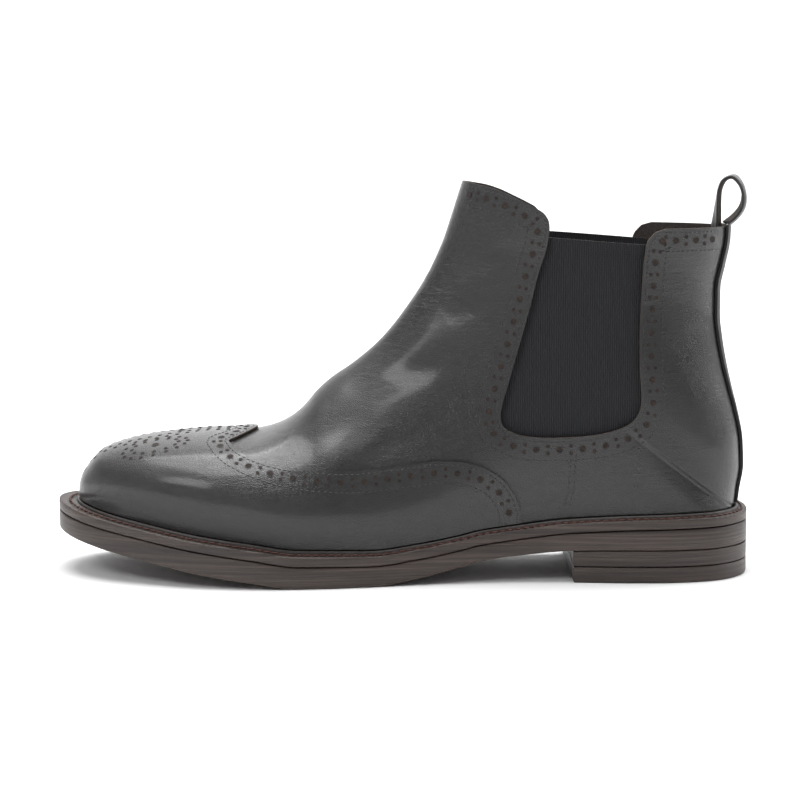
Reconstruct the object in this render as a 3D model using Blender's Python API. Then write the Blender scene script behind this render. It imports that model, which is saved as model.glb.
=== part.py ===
"""A brogue boot for the left foot: a slip-on ankle boot with a wing cap and elastic gores.

The toe points along -X, the outer side faces -Y and +Z is up.
The origin is the middle of the heel's tread, on the floor.
Places along the boot are stations, counted forward from the back of the sole.
"""

import math

import bmesh
import bpy
import numpy as np

# Driving sizes of the sole in metres, for a men's boot
SOLE_LENGTH = 0.304
BALL_WIDTH = 0.108
HEEL_WIDTH = 0.076
TOE_SWING = 0.0075
TOE_SPRING = 0.0184
OUTSOLE_THICKNESS = 0.0093
HEEL_HEIGHT = 0.0142
HEEL_LENGTH = 0.0785
TOP_PIECE_THICKNESS = 0.0068
EDGE_BEVEL = 0.0008

# The welt: how far it stands out past the upper, how far it tucks under it, and its ridge
WELT_THICKNESS = 0.0044
WELT_REACH_TOE = 0.0105
WELT_REACH_BALL = 0.0092
WELT_REACH_WAIST = 0.0045
WELT_REACH_HEEL = 0.0065
WELT_TUCK = 0.007
PLATFORM_GAP = 0.001
RIDGE_HEIGHT = 0.0014
RIDGE_WIDTH = 0.0018
RIDGE_GAP = 0.0009

# The upper and what is sewn to it
SHAFT_HEIGHT = 0.151
SHAFT_WIDTH = 0.072
WALL = 0.002
OVERLAY_THICKNESS = 0.0012
INSOLE_THICKNESS = 0.003
INSOLE_GAP = 0.0016
GORE_THICKNESS = 0.0012
GORE_MARGIN = 0.006
BACKSTAY_WIDTH = 0.018
LOOP_WIDTH = 0.017
LOOP_THICKNESS = 0.0018
LOOP_HEIGHT = 0.0215
LOOP_DEPTH = 0.011
LOOP_TAIL = 0.018
LOOP_GAP = 0.0008
LOOP_TURN = math.radians(12)
SEAT = 0.0003  # gap between pieces that lie on each other

BALL = BALL_WIDTH / 2
HEEL = HEEL_WIDTH / 2
FORE = BALL - WELT_REACH_BALL
REAR = HEEL - WELT_REACH_HEEL
SHAFT = SHAFT_WIDTH / 2
ORIGIN_STATION = HEEL_LENGTH / 2

# How finely the forms are sampled and cut into facets
LOOP_SAMPLES = 400
ROW_SAMPLES = 6
HALF_SAMPLES = 60
CURVE_SAMPLES = 161
HALF_COLUMNS = 10
HEEL_CORNER_ROWS = (23.5, 24.5)
SEAM_COLUMN = 0.955
EDGE_STATIONS = 44
CUTTER_ROWS = 24
STRAP_ROWS = 18
TAIL_ROWS = 4
STRAP_COLUMNS = 5
MERGE_DISTANCE = 1e-7

# Behind these rows the columns are shared out between the parts below and above the widest place
EVEN_ROW = 18
SPLIT_ROW = 23
COLUMNS_BELOW = 0.45

# How far a cutting sheet reaches past the faces it cuts
OUTER_REACH = 0.003
INNER_REACH = 0.0008

# A section's bowl is less full where its foot is wide
BOWL_LOSS = 2.0
BOWL_LEAST = 2.0

# Sole outline from the heel to the toe: share of the length, share of a half width, that half width
OUTER_EDGE = [
    (0.013, 0.50, HEEL), (0.046, 0.80, HEEL), (0.105, 0.97, HEEL), (0.180, 1.00, HEEL),
    (0.263, 0.96, HEEL), (0.345, 0.675, BALL), (0.428, 0.73, BALL), (0.510, 0.825, BALL),
    (0.586, 0.915, BALL), (0.658, 0.965, BALL), (0.730, 0.955, BALL), (0.799, 0.88, BALL),
    (0.872, 0.72, BALL), (0.934, 0.535, BALL), (0.967, 0.375, BALL), (0.989, 0.18, BALL),
]
INNER_EDGE = [
    (0.010, 0.45, HEEL), (0.036, 0.76, HEEL), (0.082, 0.935, HEEL), (0.148, 0.995, HEEL),
    (0.224, 0.95, HEEL), (0.296, 0.62, BALL), (0.368, 0.58, BALL), (0.447, 0.595, BALL),
    (0.520, 0.67, BALL), (0.592, 0.81, BALL), (0.664, 0.955, BALL), (0.730, 1.025, BALL),
    (0.796, 1.02, BALL), (0.872, 0.91, BALL), (0.934, 0.74, BALL), (0.967, 0.60, BALL),
    (0.989, 0.42, BALL),
]

# Underside of the sole: station, share of the toe spring, share of the heel's height
UNDERSIDE = [
    (0.0, 0.0, 1.0), (0.174, 0.0, 1.0), (0.26, 0.0, 0.965), (0.336, 0.0, 0.82),
    (0.391, 0.0, 0.66), (0.4145, 0.0, 0.52), (0.474, 0.0, 0.21), (0.546, 0.0, 0.0),
    (0.645, 0.0, 0.0), (0.71, 0.136, 0.0), (0.783, 0.304, 0.0), (0.859, 0.527, 0.0),
    (0.93, 0.745, 0.0), (1.0, 1.0, 0.0),
]
# Outsole thickness: station, share of the full thickness
OUTSOLE_BUILD = [
    (0.0, 1.0), (0.174, 0.91), (0.26, 0.81), (0.40, 0.74), (0.474, 0.87), (0.56, 0.94),
    (0.71, 1.03), (0.859, 0.96), (1.0, 0.87),
]
# How far the welt stands out past the upper: station, reach
WELT_REACH = [
    (0.0, WELT_REACH_HEEL), (0.16, WELT_REACH_HEEL * 0.85), (0.38, WELT_REACH_WAIST),
    (0.66, WELT_REACH_BALL), (0.84, WELT_REACH_BALL), (1.0, WELT_REACH_TOE),
]

# Sections of the upper, from the toe over the instep to above the collar. Each lies in a plane
# across the boot, from a foot on the welt or on the heel curve to a top on the toe, instep or shin.
# Station shares run along the upper's foot, from its back to its toe.
#   top, rise: the top's station, and its height over the welt as a share of the shaft's height
#   foot, lift: the foot's station, and its height over the welt as a share of the shaft's height
#   outer, inner, half: widths either side of the ridge line as shares of a half width
#   widest: how far up the section is widest; full: how full it is above that
#   swing: the ridge line's share of the toe's swing
#   round: how far it closes below in a bowl; bowl: how full that bowl is
SECTION_COLUMNS = "top rise foot lift outer inner half widest full swing round bowl".split()
SECTIONS = [
    (1.0000, 0.000, 1.0000, 0.000, 0.000, 0.000, FORE, 0.380, 2.00, 1.00, 0.00, 2.90),
    (1.0005, 0.028, 0.9983, 0.000, 0.120, 0.118, FORE, 0.380, 2.10, 1.00, 0.00, 2.90),
    (0.9990, 0.056, 0.9913, 0.000, 0.250, 0.235, FORE, 0.380, 2.20, 1.00, 0.00, 2.90),
    (0.9930, 0.086, 0.9790, 0.000, 0.370, 0.340, FORE, 0.380, 2.25, 1.00, 0.00, 2.90),
    (0.9815, 0.121, 0.9617, 0.000, 0.490, 0.445, FORE, 0.380, 2.30, 1.00, 0.00, 2.90),
    (0.9675, 0.152, 0.9390, 0.000, 0.605, 0.545, FORE, 0.380, 2.30, 0.99, 0.00, 2.90),
    (0.9443, 0.179, 0.9094, 0.000, 0.737, 0.665, FORE, 0.370, 2.30, 0.97, 0.00, 2.90),
    (0.9084, 0.208, 0.8711, 0.000, 0.872, 0.787, FORE, 0.370, 2.30, 0.92, 0.00, 2.90),
    (0.8606, 0.237, 0.8258, 0.000, 0.993, 0.890, FORE, 0.360, 2.25, 0.83, 0.00, 2.90),
    (0.8108, 0.262, 0.7787, 0.000, 1.070, 0.952, FORE, 0.360, 2.20, 0.72, 0.00, 2.90),
    (0.7613, 0.279, 0.7300, 0.000, 1.098, 0.966, FORE, 0.350, 2.15, 0.60, 0.00, 2.90),
    (0.7216, 0.299, 0.6916, 0.000, 1.094, 0.940, FORE, 0.330, 2.05, 0.52, 0.00, 2.90),
    (0.6900, 0.330, 0.6533, 0.000, 1.066, 0.897, FORE, 0.300, 1.95, 0.43, 0.00, 2.90),
    (0.6600, 0.376, 0.6115, 0.000, 1.022, 0.850, FORE, 0.270, 1.87, 0.34, 0.00, 2.90),
    (0.6366, 0.429, 0.5662, 0.000, 0.971, 0.806, FORE, 0.245, 1.82, 0.26, 0.00, 2.90),
    (0.6122, 0.471, 0.5174, 0.000, 0.915, 0.772, FORE, 0.230, 1.80, 0.18, 0.00, 2.90),
    (0.5876, 0.504, 0.4617, 0.000, 0.860, 0.750, FORE, 0.230, 1.80, 0.12, 0.00, 2.90),
    (0.5632, 0.541, 0.3990, 0.000, 0.808, 0.738, FORE, 0.250, 1.82, 0.07, 0.00, 2.90),
    (0.5390, 0.583, 0.3293, 0.000, 1.095, 1.042, REAR, 0.280, 1.86, 0.03, 0.00, 2.90),
    (0.5180, 0.625, 0.2561, 0.000, 1.075, 1.042, REAR, 0.315, 1.90, 0.00, 0.00, 2.90),
    (0.5005, 0.665, 0.1864, 0.000, 1.073, 1.050, REAR, 0.350, 1.93, 0.00, 0.00, 2.90),
    (0.4883, 0.695, 0.1254, 0.000, 1.073, 1.058, REAR, 0.385, 1.95, 0.00, 0.30, 2.90),
    (0.4796, 0.718, 0.0749, 0.000, 1.070, 1.058, REAR, 0.410, 1.97, 0.00, 0.80, 2.90),
    (0.4732, 0.737, 0.0366, 0.000, 1.067, 1.057, REAR, 0.430, 1.98, 0.00, 0.95, 2.90),
    (0.4684, 0.752, 0.0111, 0.000, 1.063, 1.056, REAR, 0.440, 1.99, 0.00, 1.00, 2.90),
    (0.4640, 0.766, 0.0000, 0.000, 1.060, 1.054, REAR, 0.450, 2.00, 0.00, 1.00, 2.90),
    (0.4585, 0.786, -0.0060, 0.060, 0.926, 0.922, SHAFT, 0.450, 2.00, 0.00, 1.00, 2.70),
    (0.4500, 0.819, -0.0111, 0.122, 0.920, 0.917, SHAFT, 0.450, 2.00, 0.00, 1.00, 2.60),
    (0.4435, 0.847, -0.0101, 0.192, 0.915, 0.915, SHAFT, 0.455, 2.00, 0.00, 1.00, 2.45),
    (0.4385, 0.873, -0.0031, 0.268, 0.910, 0.910, SHAFT, 0.460, 2.00, 0.00, 1.00, 2.30),
    (0.4340, 0.898, 0.0066, 0.341, 0.905, 0.905, SHAFT, 0.465, 2.00, 0.00, 1.00, 2.15),
    (0.4297, 0.922, 0.0157, 0.414, 0.905, 0.905, SHAFT, 0.470, 2.00, 0.00, 1.00, 2.05),
    (0.4256, 0.945, 0.0226, 0.487, 0.910, 0.910, SHAFT, 0.475, 2.00, 0.00, 1.00, 2.00),
    (0.4208, 0.972, 0.0270, 0.560, 0.920, 0.920, SHAFT, 0.480, 2.00, 0.00, 1.00, 2.00),
    (0.4160, 0.998, 0.0270, 0.632, 0.935, 0.935, SHAFT, 0.485, 2.00, 0.00, 1.00, 2.00),
    (0.4110, 1.024, 0.0200, 0.705, 0.955, 0.955, SHAFT, 0.490, 2.00, 0.00, 1.00, 2.00),
    (0.4058, 1.052, 0.0130, 0.778, 0.975, 0.975, SHAFT, 0.490, 2.00, 0.00, 1.00, 2.00),
    (0.3995, 1.090, 0.0118, 0.850, 0.990, 0.990, SHAFT, 0.490, 2.00, 0.00, 1.00, 2.00),
    (0.3920, 1.135, 0.0115, 0.930, 1.000, 1.000, SHAFT, 0.490, 2.00, 0.00, 1.00, 2.00),
]
HEEL_ROW = 25  # the section whose foot is the very back of the upper
LAST_ROW = len(SECTIONS) - 1

# The wing cap's back edge: share of the way up from the welt to the ridge line, station share
WING_LINE = [
    (0.0, 0.325), (0.05, 0.326), (0.10, 0.331), (0.155, 0.340), (0.207, 0.353), (0.253, 0.372),
    (0.287, 0.392), (0.313, 0.413), (0.333, 0.437), (0.350, 0.466), (0.364, 0.503), (0.378, 0.556),
    (0.395, 0.602), (0.418, 0.636), (0.442, 0.663), (0.468, 0.691), (0.500, 0.719), (0.545, 0.742),
    (0.613, 0.758), (0.665, 0.764), (0.713, 0.768), (0.753, 0.760), (0.80, 0.751), (0.847, 0.7435),
    (0.90, 0.736), (0.96, 0.7295), (1.0, 0.728),
]
# Side views of the collar and of a gore's opening: station share, share of the shaft's height
COLLAR_FRONT = [
    (0.440, 0.944), (0.413, 0.942), (0.397, 0.936), (0.375, 0.927), (0.358, 0.916), (0.332, 0.893),
    (0.311, 0.873), (0.299, 0.860), (0.291, 0.839), (0.289, 0.819),
]
GORE_OPENING = [
    (0.290, 0.793), (0.294, 0.752), (0.302, 0.705), (0.317, 0.590), (0.340, 0.433), (0.351, 0.360),
    (0.358, 0.313), (0.360, 0.282), (0.354, 0.252), (0.334, 0.233), (0.306, 0.225), (0.270, 0.225),
    (0.223, 0.231), (0.192, 0.243), (0.167, 0.264), (0.154, 0.295), (0.151, 0.330), (0.153, 0.403),
    (0.154, 0.491), (0.153, 0.577), (0.151, 0.664), (0.148, 0.738), (0.142, 0.785), (0.132, 0.805),
]
COLLAR_BACK = [(0.117, 0.8135), (-0.05, 0.8135)]
# Side view of the elastic: its top edge and the fold beneath the leather
GORE_TOP = [(0.293, 0.791), (0.148, 0.764)]
# Centre line of the pull loop over the collar: share of its depth behind the inner strand, share of its height
LOOP_START = 0.045
LOOP_PATH = [
    (0.72, 0.18), (0.97, 0.38), (1.0, 0.62), (0.83, 0.86), (0.52, 0.99), (0.22, 0.93),
    (0.04, 0.74), (0.0, 0.5), (0.0, 0.25), (0.0, 0.0),
]


def column(table, index):
    return [row[index] for row in table]


def smooth(xs, ys, x, monotone=False):
    """Cubic curve through (xs, ys) read at x. A monotone one never overshoots its points."""
    xs, ys, x = (np.asarray(values, float) for values in (xs, ys, x))
    steps, slopes = np.diff(xs), np.diff(ys) / np.diff(xs)
    tangents = np.concatenate([slopes[:1], np.zeros(len(xs) - 2), slopes[-1:]])
    before, after = slopes[:-1], slopes[1:]
    if monotone:
        same = before * after > 0
        tangents[1:-1][same] = 2 * (before * after)[same] / (before + after)[same]
    else:
        tangents[1:-1] = (before * steps[1:] + after * steps[:-1]) / (steps[1:] + steps[:-1])
    i = np.clip(np.searchsorted(xs, x, side="right") - 1, 0, len(steps) - 1)
    t = (x - xs[i]) / steps[i]
    return (
        ys[i] * (1 + 2 * t) * (1 - t) ** 2
        + ys[i + 1] * t * t * (3 - 2 * t)
        + steps[i] * tangents[i] * t * (1 - t) ** 2
        - steps[i] * tangents[i + 1] * t * t * (1 - t)
    )


# The sole's outline and its heights


def underside(station):
    share = np.asarray(station) / SOLE_LENGTH
    stations = column(UNDERSIDE, 0)
    spring = smooth(stations, column(UNDERSIDE, 1), share, monotone=True)
    lift = smooth(stations, column(UNDERSIDE, 2), share, monotone=True)
    return spring * TOE_SPRING + lift * HEEL_HEIGHT


def outsole_top(station):
    share = np.asarray(station) / SOLE_LENGTH
    build = smooth(column(OUTSOLE_BUILD, 0), column(OUTSOLE_BUILD, 1), share)
    return underside(station) + build * OUTSOLE_THICKNESS


def welt_bottom(station):
    return outsole_top(station) + SEAT


def welt_top(station):
    return welt_bottom(station) + WELT_THICKNESS


def tread(station):
    return np.zeros_like(station)


def welt_reach(station):
    share = np.asarray(station) / SOLE_LENGTH
    return smooth(column(WELT_REACH, 0), column(WELT_REACH, 1), share, monotone=True)


def ridge_inner(station):
    return welt_reach(station) - RIDGE_GAP


def ridge_outer(station):
    return welt_reach(station) - RIDGE_GAP - RIDGE_WIDTH


def welt_inner(station):
    return welt_reach(station) + WELT_TUCK


def platform_edge(station):
    return welt_inner(station) + PLATFORM_GAP


def insole_edge(station):
    return welt_reach(station) + WALL + INSOLE_GAP


def sole_loop():
    """The sole's outline: a dense closed loop of (station, y), outer side first."""
    outer = [(share * SOLE_LENGTH, -width * half) for share, width, half in OUTER_EDGE]
    inner = [(share * SOLE_LENGTH, width * half) for share, width, half in INNER_EDGE]
    points = np.array([(0.0, 0.0)] + outer + [(SOLE_LENGTH, TOE_SWING)] + inner[::-1])
    tip = len(outer) + 1
    wrapped = np.concatenate([points[-3:], points, points[:4]])
    along = np.concatenate([[0], np.cumsum(np.linalg.norm(np.diff(wrapped, axis=0), axis=1))])
    outer_side = np.linspace(along[3], along[3 + tip], LOOP_SAMPLES)
    inner_side = np.linspace(along[3 + tip], along[3 + len(points)], LOOP_SAMPLES)
    at = np.concatenate([outer_side[:-1], inner_side[:-1]])
    return np.stack([smooth(along, wrapped[:, 0], at), smooth(along, wrapped[:, 1], at)], axis=1)


def outline_sides(inset):
    """The outline moved inwards by a distance, or by one for each station: outer and inner side."""
    loop = sole_loop()
    distance = inset(loop[:, 0]) if callable(inset) else np.full(len(loop), inset)
    tangent = np.roll(loop, -1, axis=0) - np.roll(loop, 1, axis=0)
    tangent /= np.linalg.norm(tangent, axis=1)[:, None]
    inward = np.stack([-tangent[:, 1], tangent[:, 0]], axis=1)
    loop = loop + inward * distance[:, None]
    loop = np.roll(loop, -int(np.argmin(loop[:, 0])), axis=0)
    tip = int(np.argmax(loop[:, 0]))
    return loop[: tip + 1], np.concatenate([loop[tip:], loop[:1]])[::-1]


def ring(inset, level, rise=0.0, end=None):
    """A closed ring of points on the outline moved inwards, at a rise over a level.

    With an end it stops at that station, in a straight edge across the boot.
    """
    outer, inner = outline_sides(inset)
    count = EDGE_STATIONS if end is None else EDGE_STATIONS // 2
    turn = np.linspace(0, math.pi if end is None else math.pi / 2, count + 1)
    front = outer[-1, 0] if end is None else end
    shares = (1 - np.cos(turn)) / (1 - math.cos(turn[-1]))
    stations = outer[0, 0] + (front - outer[0, 0]) * shares
    back_again = stations[1:][::-1] if end is not None else stations[1:-1][::-1]
    along = np.concatenate([stations, back_again])
    across = np.concatenate([
        np.interp(stations, outer[:, 0], outer[:, 1]),
        np.interp(back_again, inner[:, 0], inner[:, 1]),
    ])
    return np.stack([along, across, level(along) + rise], axis=1)


# The upper's form


def half_section(foot_y, ridge_y, width, widest, full, round_share, bowl):
    """One side of a section as (y, share of its height), from its foot to the ridge line."""
    turn = np.linspace(0, math.pi, CURVE_SAMPLES)
    low = (1 - np.cos(turn)) / 2
    flare = low * low * (3 - 2 * low)
    closed = (1 - (1 - low) ** bowl) ** (1 / bowl)
    spread = (1 - round_share) * flare + round_share * closed
    lower = np.stack([foot_y + (ridge_y + width - foot_y) * spread, low * widest], axis=1)
    high = np.sin(turn / 2)
    reach = np.maximum(1 - high**full, 0) ** (1 / full)
    upper = np.stack([ridge_y + width * reach, widest + high * (1 - widest)], axis=1)
    return np.concatenate([lower, upper[1:]])


def spaced(line, count, split=0.0):
    """A line of points divided into count stretches of equal length.

    As split goes from 0 to 1, the place where a section is widest gets the same share of the count.
    """
    along = np.concatenate([[0], np.cumsum(np.linalg.norm(np.diff(line, axis=0), axis=1))])
    if along[-1] == 0:
        return np.repeat(line[:1], count + 1, axis=0)
    even = np.linspace(0, 1, count + 1)
    at = even * along[-1]
    if split > 0:
        parted = np.interp(even, [0, COLUMNS_BELOW, 1], [0, along[CURVE_SAMPLES - 1], along[-1]])
        at = at + split * (parted - at)
    return np.stack([np.interp(at, along, line[:, k]) for k in range(line.shape[1])], axis=1)


def sampled_form():
    """The upper's outside as dense rows of points (station, y, z), and the normals there."""
    rows = np.arange(len(SECTIONS))
    at = np.linspace(0, rows[-1], rows[-1] * ROW_SAMPLES + 1)
    table = {name: np.array(column(SECTIONS, k)) for k, name in enumerate(SECTION_COLUMNS)}
    table["outer"] = table["outer"] * table["half"]
    table["inner"] = table["inner"] * table["half"]
    steady = ("foot", "lift", "round")
    row_values = {name: smooth(rows, values, at, name in steady) for name, values in table.items()}
    outer_side, inner_side = outline_sides(welt_reach)
    back, front = outer_side[0, 0], outer_side[-1, 0]
    points = []
    for k, row in enumerate(at):
        value = {name: values[k] for name, values in row_values.items()}
        foot_station = back + value["foot"] * (front - back)
        top_station = back + value["top"] * (front - back)
        foot_z = welt_top(np.clip(foot_station, back, front)) + SEAT + value["lift"] * SHAFT_HEIGHT
        top_z = welt_top(top_station) + SEAT + value["rise"] * SHAFT_HEIGHT
        ridge_y = value["swing"] * TOE_SWING
        height = math.hypot(top_station - foot_station, top_z - foot_z)
        behind = min(max((row - EVEN_ROW) / (SPLIT_ROW - EVEN_ROW), 0), 1)
        split = behind * behind * (3 - 2 * behind)
        halves = []
        for side, width in ((outer_side, -value["outer"]), (inner_side, value["inner"])):
            foot_y = np.interp(foot_station, side[:, 0], side[:, 1]) if row < HEEL_ROW else 0.0
            loss = BOWL_LOSS * abs(foot_y) / max(abs(width), MERGE_DISTANCE)
            bowl = max(value["bowl"] - loss, BOWL_LEAST)
            shape = [value[name] for name in ("widest", "full", "round")]
            half = half_section(foot_y, ridge_y, width, *shape, bowl)
            line = spaced(half * (1, height), HALF_SAMPLES, split)
            halves.append(line / (1, max(height, MERGE_DISTANCE)))
        line = np.concatenate([halves[0], halves[1][-2::-1]])
        along = foot_station + (top_station - foot_station) * line[:, 1]
        up = foot_z + (top_z - foot_z) * line[:, 1]
        points.append(np.stack([along, line[:, 0], up], axis=1))
    points = np.array(points)
    points[0] = points[0].mean(axis=0)
    normals = np.cross(np.gradient(points, axis=1), np.gradient(points, axis=0))
    heel = int(round(HEEL_ROW * ROW_SAMPLES))
    normals[heel:, 0] = normals[heel:, -1] = normals[heel:, 0] + normals[heel:, -1]
    normals[: heel + 1, [0, -1], 2] = 0
    normals[heel:, [0, -1], 1] = 0
    normals[0] = (1, 0, 0)
    return points, normals / np.linalg.norm(normals, axis=2)[:, :, None]


POINTS, NORMALS = sampled_form()


def on_form(row, across, offset=0.0):
    """The point at a row and a place across it, moved outwards.

    Across is -1 at the outer foot, 0 on the ridge line and 1 at the inner foot.
    """
    row, across = np.broadcast_arrays(np.asarray(row, float), np.asarray(across, float))
    r = np.clip(row, 0, LAST_ROW) * ROW_SAMPLES
    c = (np.clip(across, -1, 1) + 1) * HALF_SAMPLES
    i = np.minimum(r.astype(int), POINTS.shape[0] - 2)
    j = np.minimum(c.astype(int), POINTS.shape[1] - 2)
    u, v = (r - i)[..., None], (c - j)[..., None]

    def blend(values):
        near = values[i, j] * (1 - v) + values[i, j + 1] * v
        far = values[i + 1, j] * (1 - v) + values[i + 1, j + 1] * v
        return near * (1 - u) + far * u

    normal = blend(NORMALS)
    return blend(POINTS) + offset * normal / np.linalg.norm(normal, axis=-1)[..., None]


def side_view(points):
    """Side view shares made lengths: stations, and heights over the floor at the back of the welt."""
    outer, _ = outline_sides(welt_reach)
    back, front = outer[0, 0], outer[-1, 0]
    base = float(welt_top(back)) + SEAT
    return [(back + share * (front - back), base + rise * SHAFT_HEIGHT) for share, rise in points]


# Meshes and objects


def placed(points):
    """Points given as (station, y, z) in the boot's frame."""
    points = np.asarray(points, float)
    return np.stack([ORIGIN_STATION - points[..., 0], points[..., 1], points[..., 2]], axis=-1)


def material(name, colour, roughness):
    made = bpy.data.materials.new(name)
    made.use_nodes = True
    shader = made.node_tree.nodes["Principled BSDF"]
    shader.inputs["Base Color"].default_value = (*colour, 1)
    shader.inputs["Roughness"].default_value = roughness
    shader.inputs["Metallic"].default_value = 0.0
    return made


def finished(name, bm, collection, surface=None):
    """The object of a closed mesh, with its doubled points merged and its faces turned outwards."""
    bmesh.ops.remove_doubles(bm, verts=bm.verts, dist=MERGE_DISTANCE)
    bmesh.ops.recalc_face_normals(bm, faces=bm.faces)
    mesh = bpy.data.meshes.new(name)
    bm.to_mesh(mesh)
    bm.free()
    thing = bpy.data.objects.new(name, mesh)
    collection.objects.link(thing)
    if surface is None:
        thing.hide_render = True
        thing.display_type = "WIRE"
    else:
        mesh.materials.append(surface)
    return thing


def add_face(bm, corners):
    """A face on the corners that differ, or none if fewer than three do."""
    kept = []
    for corner in corners:
        if all((corner.co - other.co).length > MERGE_DISTANCE for other in kept):
            kept.append(corner)
    if len(kept) > 2:
        bm.faces.new(kept)


def stacked(name, rings, collection, surface, closed=False):
    """A solid through rings of equal count, capped at both ends or, if closed, joined round."""
    bm = bmesh.new()
    levels = [[bm.verts.new(point) for point in placed(points)] for points in rings]
    count = len(levels[0])
    pairs = list(zip(levels, levels[1:]))
    if closed:
        pairs.append((levels[-1], levels[0]))
    for low, high in pairs:
        for k in range(count):
            after = (k + 1) % count
            add_face(bm, [low[k], low[after], high[after], high[k]])
    if not closed:
        for level in (levels[0], levels[-1]):
            for k in range(count // 2):
                add_face(bm, [level[k], level[k + 1], level[count - k - 1], level[-k]])
    return finished(name, bm, collection, surface)


def sheet(name, outside, inside, collection, surface=None):
    """A solid sheet between two grids of points. Edges that coincide are left joined."""
    bm = bmesh.new()
    outer = [[bm.verts.new(point) for point in row] for row in placed(outside)]
    inner = [[bm.verts.new(point) for point in row] for row in placed(inside)]
    rows, columns = len(outer), len(outer[0])
    for i in range(rows - 1):
        for j in range(columns - 1):
            for side in (outer, inner):
                add_face(bm, [side[i][j], side[i][j + 1], side[i + 1][j + 1]])
                add_face(bm, [side[i][j], side[i + 1][j + 1], side[i + 1][j]])
    for i in range(rows - 1):
        gaps = [(outer[k][0].co - outer[k][-1].co).length for k in (i, i + 1)]
        if max(gaps) > MERGE_DISTANCE:
            for j in (0, columns - 1):
                add_face(bm, [outer[i][j], outer[i + 1][j], inner[i + 1][j], inner[i][j]])
    for i in (0, rows - 1):
        for j in range(columns - 1):
            add_face(bm, [outer[i][j], outer[i][j + 1], inner[i][j + 1], inner[i][j]])
    return finished(name, bm, collection, surface)


def prism(name, outline, y_start, y_end, collection):
    """A cutter: a side view outline of (station, z) drawn out across the boot."""
    bm = bmesh.new()
    near = [bm.verts.new(placed((station, y_start, z))) for station, z in outline]
    bm.faces.new(near)
    moved = bmesh.ops.extrude_face_region(bm, geom=bm.faces[:])["geom"]
    far = [item for item in moved if isinstance(item, bmesh.types.BMVert)]
    bmesh.ops.translate(bm, verts=far, vec=(0, y_end - y_start, 0))
    return finished(name, bm, collection)


def cut(thing, cutter, operation):
    modifier = thing.modifiers.new(f"{operation.lower()} {cutter.name}", "BOOLEAN")
    modifier.operation = operation
    modifier.object = cutter
    modifier.solver = "EXACT"


# The sole


def ridge_outer_top(station):
    return ridge_outer(station) + RIDGE_WIDTH / 3


def ridge_inner_top(station):
    return ridge_inner(station) - RIDGE_WIDTH / 3


def make_welt(collection, surface):
    rings = [
        ring(EDGE_BEVEL, welt_bottom),
        ring(0.0, welt_bottom, EDGE_BEVEL),
        ring(0.0, welt_top, -EDGE_BEVEL),
        ring(EDGE_BEVEL, welt_top),
        ring(ridge_outer, welt_top),
        ring(ridge_outer_top, welt_top, RIDGE_HEIGHT),
        ring(ridge_inner_top, welt_top, RIDGE_HEIGHT),
        ring(ridge_inner, welt_top),
        ring(welt_inner, welt_top),
        ring(welt_inner, welt_bottom),
        ring(welt_reach, welt_bottom),
    ]
    return stacked("welt", rings, collection, surface, closed=True)


def make_outsole(collection, surface):
    """The outsole, with the filling that lies inside the welt."""
    rings = [
        ring(EDGE_BEVEL, underside),
        ring(0.0, underside, EDGE_BEVEL),
        ring(0.0, outsole_top, -EDGE_BEVEL),
        ring(EDGE_BEVEL, outsole_top),
        ring(welt_reach, outsole_top),
        ring(platform_edge, outsole_top),
        ring(platform_edge, welt_top),
    ]
    return stacked("outsole", rings, collection, surface)


def make_insole(collection, surface):
    rings = [
        ring(insole_edge, welt_top, SEAT),
        ring(insole_edge, welt_top, SEAT + INSOLE_THICKNESS),
    ]
    return stacked("insole", rings, collection, surface)


def make_heel(name, bottom, level, rise, collection, surface):
    """A layer of the heel from a height up to a rise over a level, with its lower edge bevelled."""
    rings = [
        ring(EDGE_BEVEL, tread, bottom, end=HEEL_LENGTH - EDGE_BEVEL),
        ring(0.0, tread, bottom + EDGE_BEVEL, end=HEEL_LENGTH),
        ring(0.0, level, rise, end=HEEL_LENGTH),
    ]
    return stacked(name, rings, collection, surface)


# The upper, its overlays and its gores


def form_grid(offset):
    rows = np.sort([*range(LAST_ROW + 1), *HEEL_CORNER_ROWS])[:, None]
    even = np.linspace(-1, 1, 2 * HALF_COLUMNS + 1)
    across = np.sort([*even, -SEAM_COLUMN, SEAM_COLUMN])[None, :]
    return on_form(rows, across, offset)


def edge_above_welt(row, side, height):
    """Where a row has risen by a height over the welt: 1 at its foot, 0 on the ridge line."""
    share = np.linspace(1, 0, HALF_SAMPLES * 4 + 1)
    line = on_form(row, side * share)
    over = line[:, 2] - welt_top(np.clip(line[:, 0], 0, SOLE_LENGTH))
    return float(np.interp(height, np.maximum.accumulate(over), share))


def row_at_station(across, station):
    """The row in which the form passes a station, at one place across it."""
    rows = np.linspace(0, HEEL_ROW, HEEL_ROW * ROW_SAMPLES + 1)
    line = on_form(rows, across)[:, 0]
    return float(np.interp(-station, -line, rows))


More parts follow.
